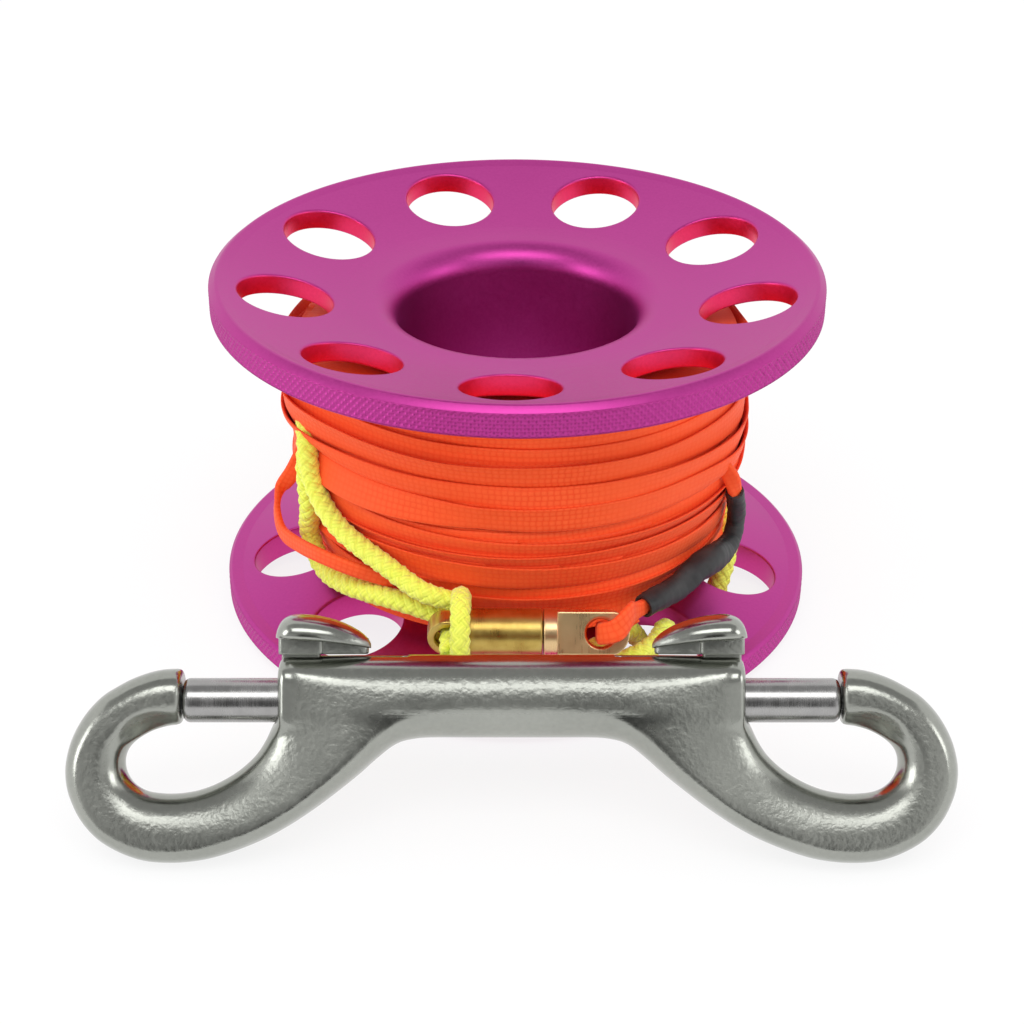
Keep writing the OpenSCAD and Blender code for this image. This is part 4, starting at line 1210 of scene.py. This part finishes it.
def snap_field(p):
    u, n, v = -np.abs(p[:, 0]), p[:, 1], p[:, 2]
    half = sample(HALF_T, u, v)
    sides = [half * np.maximum(1 - sample(d, u, v) / sample(w, u, v), 0)
             for d, w in ((IN_DIST, IN_ROUND), (OUT_DIST, OUT_ROUND))]
    limb = np.sqrt(n**2 + sides[0] ** 2 + sides[1] ** 2) - half
    # a flat along the inner side of the bend, from the nose down
    x, y = np.minimum(u - BEND_U, 0), v - BEND_V
    rho, turn = np.hypot(x, y), np.degrees(np.arctan2(-x, y))
    keep = FLAT_KEEP + KEEP_MORE * np.clip((turn - MORE_FROM) / MORE_OVER, 0, 1) ** 2
    keep = keep + KEEP_ALL * (y < 0) + KEEP_ALL * (u > FLAT_END_U)
    limb = smax(limb, FLAT_IN * (FLAT_R - rho) + FLAT_ACROSS * np.abs(n) - keep, 0.15)
    gap = np.maximum(np.maximum(-NOSE_X - u, u + OPEN_X), np.abs(v) - OPEN_HALF)
    limb = smax(limb, -gap, 0.7)
    taper = SIDE_TAPER * np.maximum(-u - TAPER_X, 0)
    bar = smax(np.hypot(n, v) - BAR_SEEN, np.abs(n) - BAR_SIDE + taper, 0.5)
    bar = smax(bar, -u - BAR_END + 0.25, 1.2)
    body = smin(limb, bar, 0.9)
    bore = np.maximum(np.maximum(np.hypot(n, v + GATE_DROP) - BORE, u + CHAMBER_IN), -u - BORE_CUT_X)
    slot = np.maximum(np.maximum(np.abs(n) - SLOT_HALF, -v), np.maximum(u + SLOT_END, -u - SLOT_CUT_X))
    return smax(body, -np.minimum(bore, slot), 0.22)


v, f = nets(snap_field, (-52.2, -5.3, -19.9), (52.2, 5.3, 5.6), 0.3)
# the crown keeps its cast grain, the lower and outer edges are polished
deep = sample(np.minimum(IN_DIST, OUT_DIST), -np.abs(v[:, 0]), v[:, 2])
crest = np.clip((deep - 1.2) / 1.6, 0, 1)
on_bar = np.clip((19 - np.abs(v[:, 0])) / 6, 0, 1)
crest *= 1 - on_bar * (1 - np.clip((v[:, 2] + 1.9) / 0.8, 0, 1))

snap = make("snap_body_cast", placed(v), f, MAT["cast"], {"crest": crest}, sharp=55)
belongs(snap, "snap", "cast_steel", "snap_body")

# Thumb knob's cap: place along, height of its top, half width; then place along, height of its underside.
CAP = np.array([
    (16.2, 6.0, 0.5), (16.5, 6.6, 1.15), (17.3, 7.35, 1.9), (18.6, 8.1, 2.65), (20.2, 8.75, 3.25),
    (22, 9.2, 3.7), (23.8, 9.42, 3.88), (25.2, 9.4, 3.75), (26.2, 8.95, 3.2), (26.75, 8.1, 2.4),
    (26.95, 7.2, 1.6),
])
CAP_BASE = np.array([(16.2, 5.5), (17.3, 5.7), (20.2, 6.1), (22, 6.3), (26.2, 6.5), (26.95, 6.75)])
CAP_ROWS, CAP_COLS = 44, 40


def gate_bolt():
    """A gate's round bolt, with its tip eased more than its back."""
    corners = [(GATE_BACK, 0), (GATE_BACK, GATE_R), (TIP_X, GATE_R), (TIP_X, 0)]
    profile = rounded(corners, [0, 0.3, 0.8, 0], 8)
    extra = [(GATE_BACK + t * (TIP_X - GATE_BACK), GATE_R) for t in np.linspace(0.06, 0.94, 40)]
    i = int(np.argmax((profile[:, 0] > GATE_BACK + 0.5) & (profile[:, 1] > GATE_R - 1e-3)))
    profile = np.concatenate([profile[:i], extra, profile[i:]])
    return lathe(profile[::-1], 96, closed=False)


def block(x0, x1, half0, half1, z0, z1, r):
    """An upright block with rounded corners and an eased foot."""
    plan = rounded([(x0, -half0), (x1, -half1), (x1, half1), (x0, half0)], [r] * 4)
    centre = np.array([(x0 + x1) / 2, 0])
    levels = [(z0, 0.96), (z0 + 0.06, 0.99), (z0 + 0.2, 1.0), (z1, 1.0)]
    rows = [np.column_stack([centre + (plan - centre) * s, np.full(len(plan), z)]) for z, s in levels]
    return np.concatenate(rows), tube_faces(4, len(plan)), {}


def knob():
    """Thumb knob: a cap that is high and round outside and runs low inwards, on a neck in the slot."""
    start, end = CAP[0, 0], CAP[-1, 0]
    u = start + (end - start) * (1 - np.cos(np.linspace(0, math.pi, CAP_ROWS))) / 2
    hi, w = np.interp(u, *CAP[:, :2].T), np.interp(u, *CAP[:, ::2].T)
    hi, w, lo = (smooth(x, 2, 1.2)[:, None] for x in (hi, w, np.interp(u, *CAP_BASE.T)))
    cs, sn = circle(CAP_COLS).T
    px = np.sign(cs) * np.abs(cs) ** 0.82
    py = np.where(sn > 0, sn**0.9, -np.abs(sn) ** 0.5)
    mid = lo + 0.28 * (hi - lo)
    up = mid + py * np.where(py > 0, hi - mid, mid - lo)
    v = np.stack([np.repeat(u[:, None], CAP_COLS, 1), px * w, up], -1)
    stem = block(22.0, 26.4, 0.8, 0.8, 2.12, 5.2, 0.3)
    # above the bar, a block that runs inwards as a narrower keel
    shoulder = block(21.6, 26.7, 1.6, 1.6, KNOB_FOOT, 7.3, 0.45)
    keel = block(16.45, 22.2, 0.9, 1.35, KNOB_FOOT, 6.6, 0.7)
    return merged([(v.reshape(-1, 3), tube_faces(CAP_ROWS, CAP_COLS), {}), stem, shoulder, keel])[:2]


def spring():
    """A closed wound coil of round wire between the chamber's end and the bolt."""
    coil, wire, turns, flat = 1.9, 0.3, 8, 0.75
    near, far = CHAMBER_IN + 0.33, GATE_BACK - 0.33
    t = np.linspace(0, turns, turns * 40 + 1)
    pos = np.interp(t, [0, flat, turns - flat, turns], [0, 0.035, 0.965, 1])
    angle = 2 * math.pi * t
    p = np.stack([near + (far - near) * pos, coil * np.cos(angle), coil * np.sin(angle)], 1)
    ways = headings(p)
    side = across_way(unit(p * [0, 1, 1]), ways)
    return sweep(p, side, np.cross(ways, side), np.broadcast_to(circle(12) * wire, (len(t), 12, 2)))


def handed(sign, v, f):
    """A piece drawn for the right side, mirrored for the left."""
    if sign > 0:
        return v, f
    return v * [-1, 1, 1], [q[:, ::-1] for q in f]


for name, sign in (("left", -1), ("right", 1)):
    v, f = handed(sign, *gate_bolt())
    bolt = make(name + "_bolt_turned", placed(v, GATE_DROP), f, MAT["turned"], sharp=40)
    belongs(bolt, name + "_gate", "turned_steel", name + "_gate_bolt")
    v, f = handed(sign, *knob())
    crest = np.clip((6.9 - v[:, 2]) / 0.6, 0, 1)
    cap = make(name + "_knob_cast", placed(v), f, MAT["cast"], {"crest": crest}, sharp=45)
    belongs(cap, name + "_gate", "cast_steel", name + "_thumb_knob")
    v, f = handed(sign, *spring())
    coil = make(name + "_spring_wound", placed(v, GATE_DROP), f, MAT["spring"])
    belongs(coil, "snap", "spring_steel", name + "_gate_spring")
    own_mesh(coil)

# ------------------------------ floor and lights


def cleared(owner):
    """The emptied node tree of a material or world."""
    owner.use_nodes = True
    owner.node_tree.nodes.clear()
    return owner.node_tree


def flat_colour(tree, kind, colour):
    node = tree.nodes.new("ShaderNode" + kind)
    node.inputs["Color"].default_value = (*colour, 1)
    return node.outputs[0]


def two_looks(owner, end, plain, seen, share):
    """Looks plain in soft light, and seen, by its share, to the camera and in sharp reflections."""
    tree = cleared(owner)
    link = tree.links.new
    path = tree.nodes.new("ShaderNodeLightPath")
    fac = path.outputs["Is Camera Ray"]
    for op, other in (("MAXIMUM", "Is Glossy Ray"), ("MAXIMUM", "Is Transmission Ray"), ("MULTIPLY", None)):
        node = tree.nodes.new("ShaderNodeMath")
        node.operation = op
        link(fac, node.inputs[0])
        if other:
            link(path.outputs[other], node.inputs[1])
        else:
            node.inputs[1].default_value = share
        fac = node.outputs[0]
    mix = tree.nodes.new("ShaderNodeMixShader")
    for k, value in enumerate((fac, flat_colour(tree, *plain), flat_colour(tree, *seen))):
        link(value, mix.inputs[k])
    link(mix.outputs[0], tree.nodes.new("ShaderNodeOutput" + end).inputs[0])


def staged(name, corners, material):
    """One flat face that belongs to the scene and not to the part."""
    obj = make(name, corners, [np.arange(len(corners))[None]], material)
    return obj


WHITE = (1, 1, 1)
floor_white = bpy.data.materials.new("floor_white")
two_looks(floor_white, "Material", ("BsdfDiffuse", (0.88, 0.88, 0.88)), ("Emission", WHITE), 0.82)
staged("floor", np.column_stack([3000 * circle(64), np.full(64, -0.02)]), floor_white)

world = bpy.data.worlds.new("studio")
bpy.context.scene.world = world
two_looks(world, "World", ("Background", (0.97, 0.98, 1.0)), ("Background", WHITE), 1.0)


def card(name, low, high, level):
    """A grey rectangle from one corner to the other that only sharp reflections see."""
    mat = bpy.data.materials.new(name)
    tree = cleared(mat)
    glow = flat_colour(tree, "Emission", [level] * 3)
    tree.links.new(glow, tree.nodes.new("ShaderNodeOutputMaterial").inputs[0])
    (x0, y0, z0), (x1, y1, z1) = low, high
    obj = staged(name, [(x0, y0, z0), (x1, y0, z0), (x1, y1, z1), (x0, y1, z1)], mat)
    obj.visible_camera = False
    obj.visible_diffuse = False
    obj.visible_shadow = False


card("card_front", (-260, -1000, 5), (260, -1000, 620), 0.07)
card("card_side", (-260, -1000, 5), (-1800, -1000, 620), 0.5)
card("card_side", (260, -1000, 5), (1800, -1000, 620), 0.75)
card("card_mid", (-1800, -1000, 620), (1800, -1000, 1250), 0.35)
card("card_top", (-1800, -1000, 1250), (1800, 800, 1650), 0.42)


def lamp(name, place, aim, size, power):
    data = bpy.data.lights.new(name, "AREA")
    data.shape = "RECTANGLE"
    data.size, data.size_y = size
    data.energy = power
    obj = add_object(name, data)
    obj.location = place
    way = Vector(aim) - Vector(place)
    obj.rotation_euler = way.to_track_quat("-Z", "Y").to_euler()
    return obj


lamp("soft_top", (0.0, -0.39, 0.68), (0, -0.03, 0.02), (0.75, 0.32), 2.3)
lamp("soft_left", (-0.75, -0.3, 0.3), (0, 0, 0.03), (0.3, 0.4), 1.2)
lamp("soft_right", (0.75, -0.25, 0.35), (0, 0, 0.03), (0.25, 0.3), 0.6)
